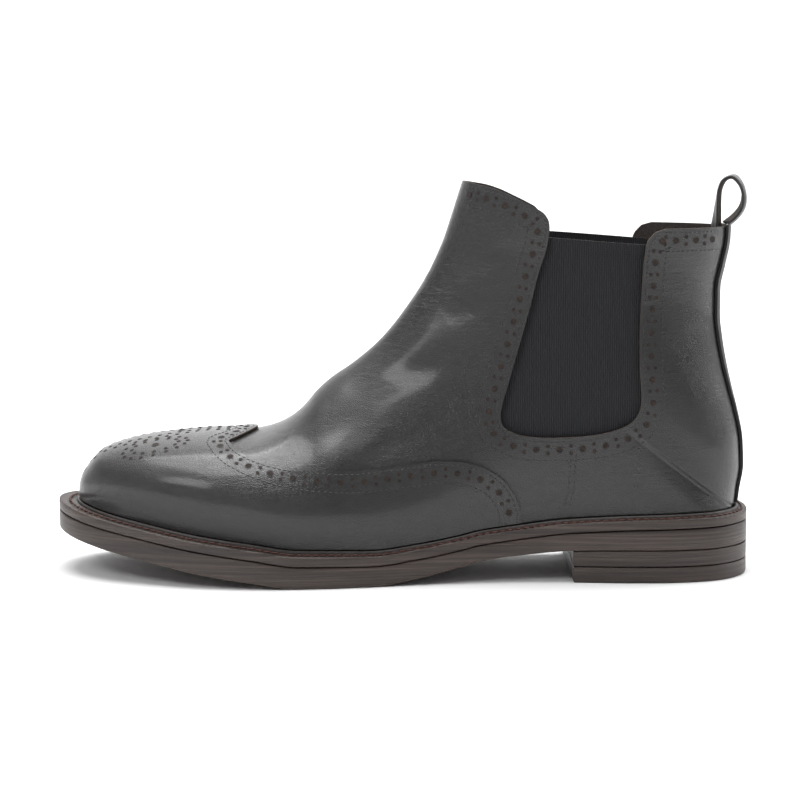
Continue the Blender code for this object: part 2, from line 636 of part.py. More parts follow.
def wing_cutter(collection):
    """A thick sheet over the toe, from just above the welt's ridge back to the wing line."""
    height = RIDGE_HEIGHT + 2 * SEAT
    outer, _ = outline_sides(welt_reach)
    back, front = outer[0, 0], outer[-1, 0]
    ridge_rows = np.linspace(0, HEEL_ROW, HEEL_ROW * ROW_SAMPLES + 1)
    ridge = on_form(ridge_rows, 0.0)
    first = float(np.interp(height, ridge[:, 2] - welt_top(ridge[:, 0]), ridge_rows))
    grid = []
    for side, wing_line in ((-1, WING_LINE), (1, WING_LINE[-2::-1])):
        for up, station in wing_line:
            last = row_at_station(side * (1 - up), back + station * (front - back))
            rows = np.linspace(first, last, CUTTER_ROWS)
            lows = [0.0] + [edge_above_welt(row, side, height) for row in rows[1:]]
            grid.append([(row, side * (1 - up) * low) for row, low in zip(rows, lows)])
    row, across = np.array(grid).transpose(2, 1, 0)
    outside = on_form(row, across, OUTER_REACH)
    inside = on_form(row, across, SEAT - INNER_REACH)
    return sheet("wing cutter", outside, inside, collection)


def back_row(z):
    """The row whose foot is at a height on the heel curve."""
    rows = np.linspace(HEEL_ROW, LAST_ROW, (LAST_ROW - HEEL_ROW) * ROW_SAMPLES + 1)
    return float(np.interp(z, on_form(rows, -1.0)[:, 2], rows))


def half_girth(row):
    line = on_form(row, np.linspace(-1, 0, HALF_SAMPLES + 1))
    return float(np.linalg.norm(np.diff(line, axis=0), axis=1).sum())


def make_backstay(collection, cutters, surface):
    """The strip down the back seam, cut from a sheet over the heel."""
    bottom = float(welt_top(WELT_REACH_HEEL)) + RIDGE_HEIGHT + 2 * SEAT
    top = side_view(COLLAR_BACK)[0][1]
    outside, inside = form_grid(SEAT + OVERLAY_THICKNESS), form_grid(SEAT)
    thing = sheet("backstay", outside, inside, collection, surface)
    grid = []
    for row in np.linspace(back_row(bottom), back_row(top) + 1, CUTTER_ROWS):
        reach = BACKSTAY_WIDTH / 2 / half_girth(row)
        edges = (reach - 1, reach / 2 - 1, -1, 1 - reach / 2, 1 - reach)
        grid.append([(row, edge) for edge in edges])
    row, across = np.array(grid).transpose(2, 0, 1)
    outside, inside = on_form(row, across, OUTER_REACH), on_form(row, across, SEAT - INNER_REACH)
    cut(thing, sheet("backstay cutter", outside, inside, cutters), "INTERSECT")
    back, front, high = -HEEL_LENGTH, SOLE_LENGTH, top + SHAFT_HEIGHT
    above = [(back, top), (front, top), (front, high), (back, high)]
    cut(thing, prism("backstay top cutter", above, -BALL, BALL, cutters), "DIFFERENCE")
    return thing


def opening_outline():
    """The side view of what is cut away: all above the collar, and the gores' openings."""
    line = side_view(COLLAR_FRONT + GORE_OPENING + COLLAR_BACK)
    high = line[0][1] + SHAFT_HEIGHT / 2
    return line + [(line[-1][0], high), (line[0][0], high)]


def make_upper(collection, cutters, surface):
    thing = sheet("upper", form_grid(0.0), form_grid(-WALL), collection, surface)
    cut(thing, prism("opening cutter", opening_outline(), -BALL, BALL, cutters), "DIFFERENCE")
    return thing


def gore_outline():
    """The side view of a gore: its opening spread by the margin that the leather laps over."""
    opening = side_view(GORE_OPENING)
    middle_station = (opening[0][0] + opening[-1][0]) / 2
    low = min(z for _, z in opening)
    corner_centre = low + 4 * GORE_MARGIN
    (front, front_z), (rear, rear_z) = side_view(GORE_TOP)
    outline = [(front + GORE_MARGIN, front_z)]
    for station, z in opening:
        if z < rear_z - GORE_MARGIN:
            away = np.array((station - middle_station, min(z - corner_centre, 0.0)))
            away *= GORE_MARGIN / np.linalg.norm(away)
            outline.append((station + away[0], z + away[1]))
    return outline + [(rear - GORE_MARGIN, rear_z)]


def make_gore(name, y_start, y_end, collection, cutters, surface):
    """Elastic behind the leather, in one side's opening."""
    outer = WALL + SEAT
    inner = outer + GORE_THICKNESS
    thing = sheet(name, form_grid(-outer), form_grid(-inner), collection, surface)
    cutter = prism(f"{name} cutter", gore_outline(), y_start, y_end, cutters)
    cut(thing, cutter, "INTERSECT")
    return thing


def back_wall(z, y, offset):
    """Station of the form's back at a height and a distance to the side, moved outwards."""
    row = back_row(z)
    share = np.linspace(0, 0.5, HALF_SAMPLES + 1)
    line = on_form(row, np.sign(y or 1) * (1 - share), offset)
    return float(np.interp(abs(y), np.abs(line[:, 1]), line[:, 0]))


def make_pull_loop(collection, surface):
    """A strap from the backstay's top, turned over and sewn inside the collar."""
    collar = side_view(COLLAR_BACK)[0][1]
    depth = -(WALL + LOOP_GAP + LOOP_THICKNESS / 2)
    inside = back_wall(collar, 0.0, depth)
    line = [(back_wall(collar, 0.0, SEAT + OVERLAY_THICKNESS / 2), collar + LOOP_START * LOOP_HEIGHT)]
    line += [(inside - back * LOOP_DEPTH, collar + up * LOOP_HEIGHT) for back, up in LOOP_PATH]
    across = np.linspace(-LOOP_WIDTH / 2, LOOP_WIDTH / 2, STRAP_COLUMNS)
    bends = [back_wall(collar, y, depth) - inside for y in across]
    grid = []
    for station, z in spaced(np.array(line), STRAP_ROWS):
        up = min(max((z - collar) / LOOP_HEIGHT, 0), 1)
        turned = across * math.tan(LOOP_TURN)
        along = [station + bend * (1 - up) - turn * up for bend, turn in zip(bends, turned)]
        grid.append([(at, y, z) for at, y in zip(along, across)])
    for drop in np.linspace(0, LOOP_TAIL, TAIL_ROWS + 1)[1:]:
        z = collar - drop
        grid.append([(back_wall(z, y, depth), y, z) for y in across])
    grid = np.array(grid)
    normals = np.cross(np.gradient(grid, axis=0), np.gradient(grid, axis=1))
    normals *= LOOP_THICKNESS / 2 / np.linalg.norm(normals, axis=2)[:, :, None]
    return sheet("pull_loop", grid + normals, grid - normals, collection, surface)


def build():
    for thing in list(bpy.data.objects):
        bpy.data.objects.remove(thing, do_unlink=True)
    parts = bpy.data.collections.new("brogue boot")
    cutters = bpy.data.collections.new("cutters")
    bpy.context.scene.collection.children.link(parts)
    bpy.context.scene.collection.children.link(cutters)

    calf = material("black calf", (0.012, 0.011, 0.011), 0.32)
    waxed = material("dark brown sole leather", (0.045, 0.032, 0.028), 0.5)
    rubber = material("black rubber", (0.03, 0.024, 0.022), 0.6)
    elastic = material("black elastic", (0.014, 0.014, 0.016), 0.85)
    lining = material("brown lining leather", (0.06, 0.042, 0.033), 0.7)

    make_outsole(parts, waxed)
    make_welt(parts, waxed)
    make_heel("heel_top_piece", 0.0, tread, TOP_PIECE_THICKNESS, parts, rubber)
    make_heel("heel_stack", TOP_PIECE_THICKNESS + SEAT, underside, -SEAT, parts, waxed)
    make_insole(parts, lining)
    make_upper(parts, cutters, calf)
    wing = sheet("wing_cap", form_grid(SEAT + OVERLAY_THICKNESS), form_grid(SEAT), parts, calf)
    cut(wing, wing_cutter(cutters), "INTERSECT")
    make_backstay(parts, cutters, calf)
    make_gore("gore_lateral", -BALL, 0.0, parts, cutters, elastic)
    make_gore("gore_medial", 0.0, BALL, parts, cutters, elastic)
    make_pull_loop(parts, calf)
    for thing in parts.objects:
        thing.data.shade_smooth()
        thing.data.set_sharp_from_angle(angle=math.radians(35))


build()
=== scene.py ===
"""A left brogue boot in black calf, with a wing cap and elastic gores, on a pale floor."""

import math

import bmesh
import bpy
import numpy as np
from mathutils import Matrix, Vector
from mathutils.bvhtree import BVHTree
from mathutils.geometry import barycentric_transform


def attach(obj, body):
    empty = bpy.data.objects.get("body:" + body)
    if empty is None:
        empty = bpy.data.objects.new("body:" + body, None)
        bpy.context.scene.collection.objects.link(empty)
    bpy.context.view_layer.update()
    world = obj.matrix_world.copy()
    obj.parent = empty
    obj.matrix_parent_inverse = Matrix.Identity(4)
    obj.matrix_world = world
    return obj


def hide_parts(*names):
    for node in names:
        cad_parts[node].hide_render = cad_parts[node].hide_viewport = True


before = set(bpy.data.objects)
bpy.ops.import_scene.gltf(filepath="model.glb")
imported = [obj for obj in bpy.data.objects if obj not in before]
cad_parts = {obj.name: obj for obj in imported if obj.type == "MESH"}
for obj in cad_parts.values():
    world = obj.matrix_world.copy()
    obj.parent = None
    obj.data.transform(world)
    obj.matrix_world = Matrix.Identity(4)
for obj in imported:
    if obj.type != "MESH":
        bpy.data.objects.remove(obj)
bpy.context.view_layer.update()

# Driving sizes of the sole in metres, for a men's boot
SOLE_LENGTH = 0.304
BALL_WIDTH = 0.108
HEEL_WIDTH = 0.076
TOE_SWING = 0.0075
TOE_SPRING = 0.0184
OUTSOLE_THICKNESS = 0.0093
HEEL_HEIGHT = 0.0142
HEEL_LENGTH = 0.0785
TOP_PIECE_THICKNESS = 0.0068
EDGE_BEVEL = 0.0008

# The welt: how far it stands out past the upper, how far it tucks under it, and its ridge
WELT_THICKNESS = 0.0044
WELT_REACH_TOE = 0.0105
WELT_REACH_BALL = 0.0092
WELT_REACH_WAIST = 0.0045
WELT_REACH_HEEL = 0.0065
WELT_TUCK = 0.007
PLATFORM_GAP = 0.001
RIDGE_HEIGHT = 0.0014
RIDGE_WIDTH = 0.0018
RIDGE_GAP = 0.0009

# The upper and what is sewn to it
SHAFT_HEIGHT = 0.151
SHAFT_WIDTH = 0.072
WALL = 0.002
OVERLAY_THICKNESS = 0.0012
INSOLE_THICKNESS = 0.003
INSOLE_GAP = 0.0016
GORE_THICKNESS = 0.0012
GORE_MARGIN = 0.006
BACKSTAY_WIDTH = 0.018
LOOP_WIDTH = 0.017
LOOP_THICKNESS = 0.0018
LOOP_HEIGHT = 0.0215
LOOP_DEPTH = 0.011
LOOP_TAIL = 0.018
LOOP_GAP = 0.0008
LOOP_TURN = math.radians(12)
SEAT = 0.0003  # gap between pieces that lie on each other

BALL = BALL_WIDTH / 2
HEEL = HEEL_WIDTH / 2
FORE = BALL - WELT_REACH_BALL
REAR = HEEL - WELT_REACH_HEEL
SHAFT = SHAFT_WIDTH / 2
ORIGIN_STATION = HEEL_LENGTH / 2


# How finely the forms are sampled
LOOP_SAMPLES = 400
ROW_SAMPLES = 6
HALF_SAMPLES = 60
CURVE_SAMPLES = 161
EDGE_STATIONS = 300
CUTTER_ROWS = 70
STRAP_ROWS = 60
TAIL_ROWS = 16
STRAP_COLUMNS = 13
MERGE_DISTANCE = 1e-7

# Behind these rows the columns are shared out between the parts below and above the widest place
EVEN_ROW = 18
SPLIT_ROW = 23
COLUMNS_BELOW = 0.45

# How far a cutting sheet reaches past the faces it cuts
OUTER_REACH = 0.003
INNER_REACH = 0.0008

# A section's bowl is less full where its foot is wide
BOWL_LOSS = 2.0
BOWL_LEAST = 2.0

# Sole outline from the heel to the toe: share of the length, share of a half width, that half width
OUTER_EDGE = [
    (0.013, 0.50, HEEL), (0.046, 0.80, HEEL), (0.105, 0.97, HEEL), (0.180, 1.00, HEEL),
    (0.263, 0.96, HEEL), (0.345, 0.675, BALL), (0.428, 0.73, BALL), (0.510, 0.825, BALL),
    (0.586, 0.915, BALL), (0.658, 0.965, BALL), (0.730, 0.955, BALL), (0.799, 0.88, BALL),
    (0.872, 0.72, BALL), (0.934, 0.535, BALL), (0.967, 0.375, BALL), (0.989, 0.18, BALL),
]
INNER_EDGE = [
    (0.010, 0.45, HEEL), (0.036, 0.76, HEEL), (0.082, 0.935, HEEL), (0.148, 0.995, HEEL),
    (0.224, 0.95, HEEL), (0.296, 0.62, BALL), (0.368, 0.58, BALL), (0.447, 0.595, BALL),
    (0.520, 0.67, BALL), (0.592, 0.81, BALL), (0.664, 0.955, BALL), (0.730, 1.025, BALL),
    (0.796, 1.02, BALL), (0.872, 0.91, BALL), (0.934, 0.74, BALL), (0.967, 0.60, BALL),
    (0.989, 0.42, BALL),
]

# Underside of the sole: station, share of the toe spring, share of the heel's height
UNDERSIDE = [
    (0.0, 0.0, 1.0), (0.174, 0.0, 1.0), (0.26, 0.0, 0.965), (0.336, 0.0, 0.82),
    (0.391, 0.0, 0.66), (0.4145, 0.0, 0.52), (0.474, 0.0, 0.21), (0.546, 0.0, 0.0),
    (0.645, 0.0, 0.0), (0.71, 0.136, 0.0), (0.783, 0.304, 0.0), (0.859, 0.527, 0.0),
    (0.93, 0.745, 0.0), (1.0, 1.0, 0.0),
]
# Outsole thickness: station, share of the full thickness
OUTSOLE_BUILD = [
    (0.0, 1.0), (0.174, 0.91), (0.26, 0.81), (0.40, 0.74), (0.474, 0.87), (0.56, 0.94),
    (0.71, 1.03), (0.859, 0.96), (1.0, 0.87),
]
# How far the welt stands out past the upper: station, reach
WELT_REACH = [
    (0.0, WELT_REACH_HEEL), (0.16, WELT_REACH_HEEL * 0.85), (0.38, WELT_REACH_WAIST),
    (0.66, WELT_REACH_BALL), (0.84, WELT_REACH_BALL), (1.0, WELT_REACH_TOE),
]

# Sections of the upper, from the toe over the instep to above the collar. Each lies in a plane
# across the boot, from a foot on the welt or on the heel curve to a top on the toe, instep or shin.
# Station shares run along the upper's foot, from its back to its toe.
#   top, rise: the top's station, and its height over the welt as a share of the shaft's height
#   foot, lift: the foot's station, and its height over the welt as a share of the shaft's height
#   outer, inner, half: widths either side of the ridge line as shares of a half width
#   widest: how far up the section is widest; full: how full it is above that
#   swing: the ridge line's share of the toe's swing
#   round: how far it closes below in a bowl; bowl: how full that bowl is
SECTION_COLUMNS = "top rise foot lift outer inner half widest full swing round bowl".split()
SECTIONS = [
    (1.0000, 0.000, 1.0000, 0.000, 0.000, 0.000, FORE, 0.380, 2.00, 1.00, 0.00, 2.90),
    (1.0005, 0.028, 0.9983, 0.000, 0.120, 0.118, FORE, 0.380, 2.10, 1.00, 0.00, 2.90),
    (0.9990, 0.056, 0.9913, 0.000, 0.250, 0.235, FORE, 0.380, 2.20, 1.00, 0.00, 2.90),
    (0.9930, 0.086, 0.9790, 0.000, 0.370, 0.340, FORE, 0.380, 2.25, 1.00, 0.00, 2.90),
    (0.9815, 0.121, 0.9617, 0.000, 0.490, 0.445, FORE, 0.380, 2.30, 1.00, 0.00, 2.90),
    (0.9675, 0.152, 0.9390, 0.000, 0.605, 0.545, FORE, 0.380, 2.30, 0.99, 0.00, 2.90),
    (0.9443, 0.179, 0.9094, 0.000, 0.737, 0.665, FORE, 0.370, 2.30, 0.97, 0.00, 2.90),
    (0.9084, 0.208, 0.8711, 0.000, 0.872, 0.787, FORE, 0.370, 2.30, 0.92, 0.00, 2.90),
    (0.8606, 0.237, 0.8258, 0.000, 0.993, 0.890, FORE, 0.360, 2.25, 0.83, 0.00, 2.90),
    (0.8108, 0.262, 0.7787, 0.000, 1.070, 0.952, FORE, 0.360, 2.20, 0.72, 0.00, 2.90),
    (0.7613, 0.279, 0.7300, 0.000, 1.098, 0.966, FORE, 0.350, 2.15, 0.60, 0.00, 2.90),
    (0.7216, 0.299, 0.6916, 0.000, 1.094, 0.940, FORE, 0.330, 2.05, 0.52, 0.00, 2.90),
    (0.6900, 0.330, 0.6533, 0.000, 1.066, 0.897, FORE, 0.300, 1.95, 0.43, 0.00, 2.90),
    (0.6600, 0.376, 0.6115, 0.000, 1.022, 0.850, FORE, 0.270, 1.87, 0.34, 0.00, 2.90),
    (0.6366, 0.429, 0.5662, 0.000, 0.971, 0.806, FORE, 0.245, 1.82, 0.26, 0.00, 2.90),
    (0.6122, 0.471, 0.5174, 0.000, 0.915, 0.772, FORE, 0.230, 1.80, 0.18, 0.00, 2.90),
    (0.5876, 0.504, 0.4617, 0.000, 0.860, 0.750, FORE, 0.230, 1.80, 0.12, 0.00, 2.90),
    (0.5632, 0.541, 0.3990, 0.000, 0.808, 0.738, FORE, 0.250, 1.82, 0.07, 0.00, 2.90),
    (0.5390, 0.583, 0.3293, 0.000, 1.095, 1.042, REAR, 0.280, 1.86, 0.03, 0.00, 2.90),
    (0.5180, 0.625, 0.2561, 0.000, 1.075, 1.042, REAR, 0.315, 1.90, 0.00, 0.00, 2.90),
    (0.5005, 0.665, 0.1864, 0.000, 1.073, 1.050, REAR, 0.350, 1.93, 0.00, 0.00, 2.90),
    (0.4883, 0.695, 0.1254, 0.000, 1.073, 1.058, REAR, 0.385, 1.95, 0.00, 0.30, 2.90),
    (0.4796, 0.718, 0.0749, 0.000, 1.070, 1.058, REAR, 0.410, 1.97, 0.00, 0.80, 2.90),
    (0.4732, 0.737, 0.0366, 0.000, 1.067, 1.057, REAR, 0.430, 1.98, 0.00, 0.95, 2.90),
    (0.4684, 0.752, 0.0111, 0.000, 1.063, 1.056, REAR, 0.440, 1.99, 0.00, 1.00, 2.90),
    (0.4640, 0.766, 0.0000, 0.000, 1.060, 1.054, REAR, 0.450, 2.00, 0.00, 1.00, 2.90),
    (0.4585, 0.786, -0.0060, 0.060, 0.926, 0.922, SHAFT, 0.450, 2.00, 0.00, 1.00, 2.70),
    (0.4500, 0.819, -0.0111, 0.122, 0.920, 0.917, SHAFT, 0.450, 2.00, 0.00, 1.00, 2.60),
    (0.4435, 0.847, -0.0101, 0.192, 0.915, 0.915, SHAFT, 0.455, 2.00, 0.00, 1.00, 2.45),
    (0.4385, 0.873, -0.0031, 0.268, 0.910, 0.910, SHAFT, 0.460, 2.00, 0.00, 1.00, 2.30),
    (0.4340, 0.898, 0.0066, 0.341, 0.905, 0.905, SHAFT, 0.465, 2.00, 0.00, 1.00, 2.15),
    (0.4297, 0.922, 0.0157, 0.414, 0.905, 0.905, SHAFT, 0.470, 2.00, 0.00, 1.00, 2.05),
    (0.4256, 0.945, 0.0226, 0.487, 0.910, 0.910, SHAFT, 0.475, 2.00, 0.00, 1.00, 2.00),
    (0.4208, 0.972, 0.0270, 0.560, 0.920, 0.920, SHAFT, 0.480, 2.00, 0.00, 1.00, 2.00),
    (0.4160, 0.998, 0.0270, 0.632, 0.935, 0.935, SHAFT, 0.485, 2.00, 0.00, 1.00, 2.00),
    (0.4110, 1.024, 0.0200, 0.705, 0.955, 0.955, SHAFT, 0.490, 2.00, 0.00, 1.00, 2.00),
    (0.4058, 1.052, 0.0130, 0.778, 0.975, 0.975, SHAFT, 0.490, 2.00, 0.00, 1.00, 2.00),
    (0.3995, 1.090, 0.0118, 0.850, 0.990, 0.990, SHAFT, 0.490, 2.00, 0.00, 1.00, 2.00),
    (0.3920, 1.135, 0.0115, 0.930, 1.000, 1.000, SHAFT, 0.490, 2.00, 0.00, 1.00, 2.00),
]
HEEL_ROW = 25  # the section whose foot is the very back of the upper
LAST_ROW = len(SECTIONS) - 1

# The wing cap's back edge: share of the way up from the welt to the ridge line, station share
WING_LINE = [
    (0.0, 0.325), (0.05, 0.326), (0.10, 0.331), (0.155, 0.340), (0.207, 0.353), (0.253, 0.372),
    (0.287, 0.392), (0.313, 0.413), (0.333, 0.437), (0.350, 0.466), (0.364, 0.503), (0.378, 0.556),
    (0.395, 0.602), (0.418, 0.636), (0.442, 0.663), (0.468, 0.691), (0.500, 0.719), (0.545, 0.742),
    (0.613, 0.758), (0.665, 0.764), (0.713, 0.768), (0.753, 0.760), (0.80, 0.751), (0.847, 0.7435),
    (0.90, 0.736), (0.96, 0.7295), (1.0, 0.728),
]
# Side views of the collar and of a gore's opening: station share, share of the shaft's height
COLLAR_FRONT = [
    (0.440, 0.944), (0.413, 0.942), (0.397, 0.936), (0.375, 0.927), (0.358, 0.916), (0.332, 0.893),
    (0.311, 0.873), (0.299, 0.860), (0.291, 0.839), (0.289, 0.819),
]
GORE_OPENING = [
    (0.290, 0.793), (0.294, 0.752), (0.302, 0.705), (0.317, 0.590), (0.340, 0.433), (0.351, 0.360),
    (0.358, 0.313), (0.360, 0.282), (0.354, 0.252), (0.334, 0.233), (0.306, 0.225), (0.270, 0.225),
    (0.223, 0.231), (0.192, 0.243), (0.167, 0.264), (0.154, 0.295), (0.151, 0.330), (0.153, 0.403),
    (0.154, 0.491), (0.153, 0.577), (0.151, 0.664), (0.148, 0.738), (0.142, 0.785), (0.132, 0.805),
]
COLLAR_BACK = [(0.117, 0.8135), (-0.05, 0.8135)]
# Side view of the elastic: its top edge and the fold beneath the leather
GORE_TOP = [(0.293, 0.791), (0.148, 0.764)]
# Centre line of the pull loop over the collar: share of its depth behind the inner strand,
# share of its height
LOOP_START = 0.045
LOOP_PATH = [
    (0.72, 0.18), (0.97, 0.38), (1.0, 0.62), (0.83, 0.86), (0.52, 0.99), (0.22, 0.93),
    (0.04, 0.74), (0.0, 0.5), (0.0, 0.25), (0.0, 0.0),
]


def column(table, index):
    return [row[index] for row in table]


def smooth(xs, ys, x, monotone=False):
    """Cubic curve through (xs, ys) read at x. A monotone one never overshoots its points."""
    xs, ys, x = (np.asarray(values, float) for values in (xs, ys, x))
    steps, slopes = np.diff(xs), np.diff(ys) / np.diff(xs)
    tangents = np.concatenate([slopes[:1], np.zeros(len(xs) - 2), slopes[-1:]])
    before, after = slopes[:-1], slopes[1:]
    if monotone:
        same = before * after > 0
        tangents[1:-1][same] = 2 * (before * after)[same] / (before + after)[same]
    else:
        tangents[1:-1] = (before * steps[1:] + after * steps[:-1]) / (steps[1:] + steps[:-1])
    i = np.clip(np.searchsorted(xs, x, side="right") - 1, 0, len(steps) - 1)
    t = (x - xs[i]) / steps[i]
    return (
        ys[i] * (1 + 2 * t) * (1 - t) ** 2
        + ys[i + 1] * t * t * (3 - 2 * t)
        + steps[i] * tangents[i] * t * (1 - t) ** 2
        - steps[i] * tangents[i + 1] * t * t * (1 - t)
    )


# The sole's outline and its heights


def underside(station):
    share = np.asarray(station) / SOLE_LENGTH
    stations = column(UNDERSIDE, 0)
    spring = smooth(stations, column(UNDERSIDE, 1), share, monotone=True)
    lift = smooth(stations, column(UNDERSIDE, 2), share, monotone=True)
    return spring * TOE_SPRING + lift * HEEL_HEIGHT


def outsole_top(station):
    share = np.asarray(station) / SOLE_LENGTH
    build = smooth(column(OUTSOLE_BUILD, 0), column(OUTSOLE_BUILD, 1), share)
    return underside(station) + build * OUTSOLE_THICKNESS


def welt_bottom(station):
    return outsole_top(station) + SEAT


def welt_top(station):
    return welt_bottom(station) + WELT_THICKNESS


def tread(station):
    return np.zeros_like(station)


def welt_reach(station):
    share = np.asarray(station) / SOLE_LENGTH
    return smooth(column(WELT_REACH, 0), column(WELT_REACH, 1), share, monotone=True)


def ridge_outer(station):
    return welt_reach(station) - RIDGE_GAP - RIDGE_WIDTH


def welt_inner(station):
    return welt_reach(station) + WELT_TUCK


def platform_edge(station):
    return welt_inner(station) + PLATFORM_GAP


def insole_edge(station):
    return welt_reach(station) + WALL + INSOLE_GAP


def sole_loop():
    """The sole's outline: a dense closed loop of (station, y), outer side first."""
    outer = [(share * SOLE_LENGTH, -width * half) for share, width, half in OUTER_EDGE]
    inner = [(share * SOLE_LENGTH, width * half) for share, width, half in INNER_EDGE]
    points = np.array([(0.0, 0.0)] + outer + [(SOLE_LENGTH, TOE_SWING)] + inner[::-1])
    tip = len(outer) + 1
    wrapped = np.concatenate([points[-3:], points, points[:4]])
    along = np.concatenate([[0], np.cumsum(np.linalg.norm(np.diff(wrapped, axis=0), axis=1))])
    outer_side = np.linspace(along[3], along[3 + tip], LOOP_SAMPLES)
    inner_side = np.linspace(along[3 + tip], along[3 + len(points)], LOOP_SAMPLES)
    at = np.concatenate([outer_side[:-1], inner_side[:-1]])
    return np.stack([smooth(along, wrapped[:, 0], at), smooth(along, wrapped[:, 1], at)], axis=1)


def outline_sides(inset):
    """The outline moved inwards by a distance, or by one for each station: outer and inner side."""
    loop = sole_loop()
    distance = inset(loop[:, 0]) if callable(inset) else np.full(len(loop), inset)
    tangent = np.roll(loop, -1, axis=0) - np.roll(loop, 1, axis=0)
    tangent /= np.linalg.norm(tangent, axis=1)[:, None]
    inward = np.stack([-tangent[:, 1], tangent[:, 0]], axis=1)
    loop = loop + inward * distance[:, None]
    loop = np.roll(loop, -int(np.argmin(loop[:, 0])), axis=0)
    tip = int(np.argmax(loop[:, 0]))
    return loop[: tip + 1], np.concatenate([loop[tip:], loop[:1]])[::-1]


def ring(inset, level, rise=0.0, end=None):
    """A closed ring of points on the outline moved inwards, at a rise over a level.

    With an end it stops at that station, in a straight edge across the boot.
    """
    outer, inner = outline_sides(inset)
    count = EDGE_STATIONS if end is None else EDGE_STATIONS // 2
    turn = np.linspace(0, math.pi if end is None else math.pi / 2, count + 1)
    front = outer[-1, 0] if end is None else end
    shares = (1 - np.cos(turn)) / (1 - math.cos(turn[-1]))
    stations = outer[0, 0] + (front - outer[0, 0]) * shares
    back_again = stations[1:][::-1] if end is not None else stations[1:-1][::-1]
    along = np.concatenate([stations, back_again])
    across = np.concatenate([
        np.interp(stations, outer[:, 0], outer[:, 1]),
        np.interp(back_again, inner[:, 0], inner[:, 1]),
    ])
    return np.stack([along, across, level(along) + rise], axis=1)


# The upper's form


def half_section(foot_y, ridge_y, width, widest, full, round_share, bowl):
    """One side of a section as (y, share of its height), from its foot to the ridge line."""
    turn = np.linspace(0, math.pi, CURVE_SAMPLES)
    low = (1 - np.cos(turn)) / 2
    flare = low * low * (3 - 2 * low)
    closed = (1 - (1 - low) ** bowl) ** (1 / bowl)
    spread = (1 - round_share) * flare + round_share * closed
    lower = np.stack([foot_y + (ridge_y + width - foot_y) * spread, low * widest], axis=1)
    high = np.sin(turn / 2)
    reach = np.maximum(1 - high**full, 0) ** (1 / full)
    upper = np.stack([ridge_y + width * reach, widest + high * (1 - widest)], axis=1)
    return np.concatenate([lower, upper[1:]])


def spaced(line, count, split=0.0):
    """A line of points divided into count stretches of equal length.

    As split goes from 0 to 1, the place where a section is widest gets the same share of the count.
    """
    along = np.concatenate([[0], np.cumsum(np.linalg.norm(np.diff(line, axis=0), axis=1))])
    if along[-1] == 0:
        return np.repeat(line[:1], count + 1, axis=0)
    even = np.linspace(0, 1, count + 1)
    at = even * along[-1]
    if split > 0:
        parted = np.interp(even, [0, COLUMNS_BELOW, 1], [0, along[CURVE_SAMPLES - 1], along[-1]])
        at = at + split * (parted - at)
    return np.stack([np.interp(at, along, line[:, k]) for k in range(line.shape[1])], axis=1)


def sampled_form():
    """The upper's outside as dense rows of points (station, y, z), and the normals there."""
    rows = np.arange(len(SECTIONS))
    at = np.linspace(0, rows[-1], rows[-1] * ROW_SAMPLES + 1)
    table = {name: np.array(column(SECTIONS, k)) for k, name in enumerate(SECTION_COLUMNS)}
    table["outer"] = table["outer"] * table["half"]
    table["inner"] = table["inner"] * table["half"]
    steady = ("foot", "lift", "round")
    row_values = {name: smooth(rows, values, at, name in steady) for name, values in table.items()}
    outer_side, inner_side = outline_sides(welt_reach)
    back, front = outer_side[0, 0], outer_side[-1, 0]
    points = []
    for k, row in enumerate(at):
        value = {name: values[k] for name, values in row_values.items()}
        foot_station = back + value["foot"] * (front - back)
        top_station = back + value["top"] * (front - back)
        foot_z = welt_top(np.clip(foot_station, back, front)) + SEAT + value["lift"] * SHAFT_HEIGHT
        top_z = welt_top(top_station) + SEAT + value["rise"] * SHAFT_HEIGHT
        ridge_y = value["swing"] * TOE_SWING
        height = math.hypot(top_station - foot_station, top_z - foot_z)
        behind = min(max((row - EVEN_ROW) / (SPLIT_ROW - EVEN_ROW), 0), 1)
        split = behind * behind * (3 - 2 * behind)
        halves = []
        for side, width in ((outer_side, -value["outer"]), (inner_side, value["inner"])):
            foot_y = np.interp(foot_station, side[:, 0], side[:, 1]) if row < HEEL_ROW else 0.0
            loss = BOWL_LOSS * abs(foot_y) / max(abs(width), MERGE_DISTANCE)
            bowl = max(value["bowl"] - loss, BOWL_LEAST)
            shape = [value[name] for name in ("widest", "full", "round")]
            half = half_section(foot_y, ridge_y, width, *shape, bowl)
            line = spaced(half * (1, height), HALF_SAMPLES, split)
            halves.append(line / (1, max(height, MERGE_DISTANCE)))
        line = np.concatenate([halves[0], halves[1][-2::-1]])
        along = foot_station + (top_station - foot_station) * line[:, 1]
        up = foot_z + (top_z - foot_z) * line[:, 1]
        points.append(np.stack([along, line[:, 0], up], axis=1))
    points = np.array(points)
    points[0] = points[0].mean(axis=0)
    normals = np.cross(np.gradient(points, axis=1), np.gradient(points, axis=0))
    heel = int(round(HEEL_ROW * ROW_SAMPLES))
    normals[heel:, 0] = normals[heel:, -1] = normals[heel:, 0] + normals[heel:, -1]
    normals[: heel + 1, [0, -1], 2] = 0
    normals[heel:, [0, -1], 1] = 0
    normals[0] = (1, 0, 0)
    return points, normals / np.linalg.norm(normals, axis=2)[:, :, None]


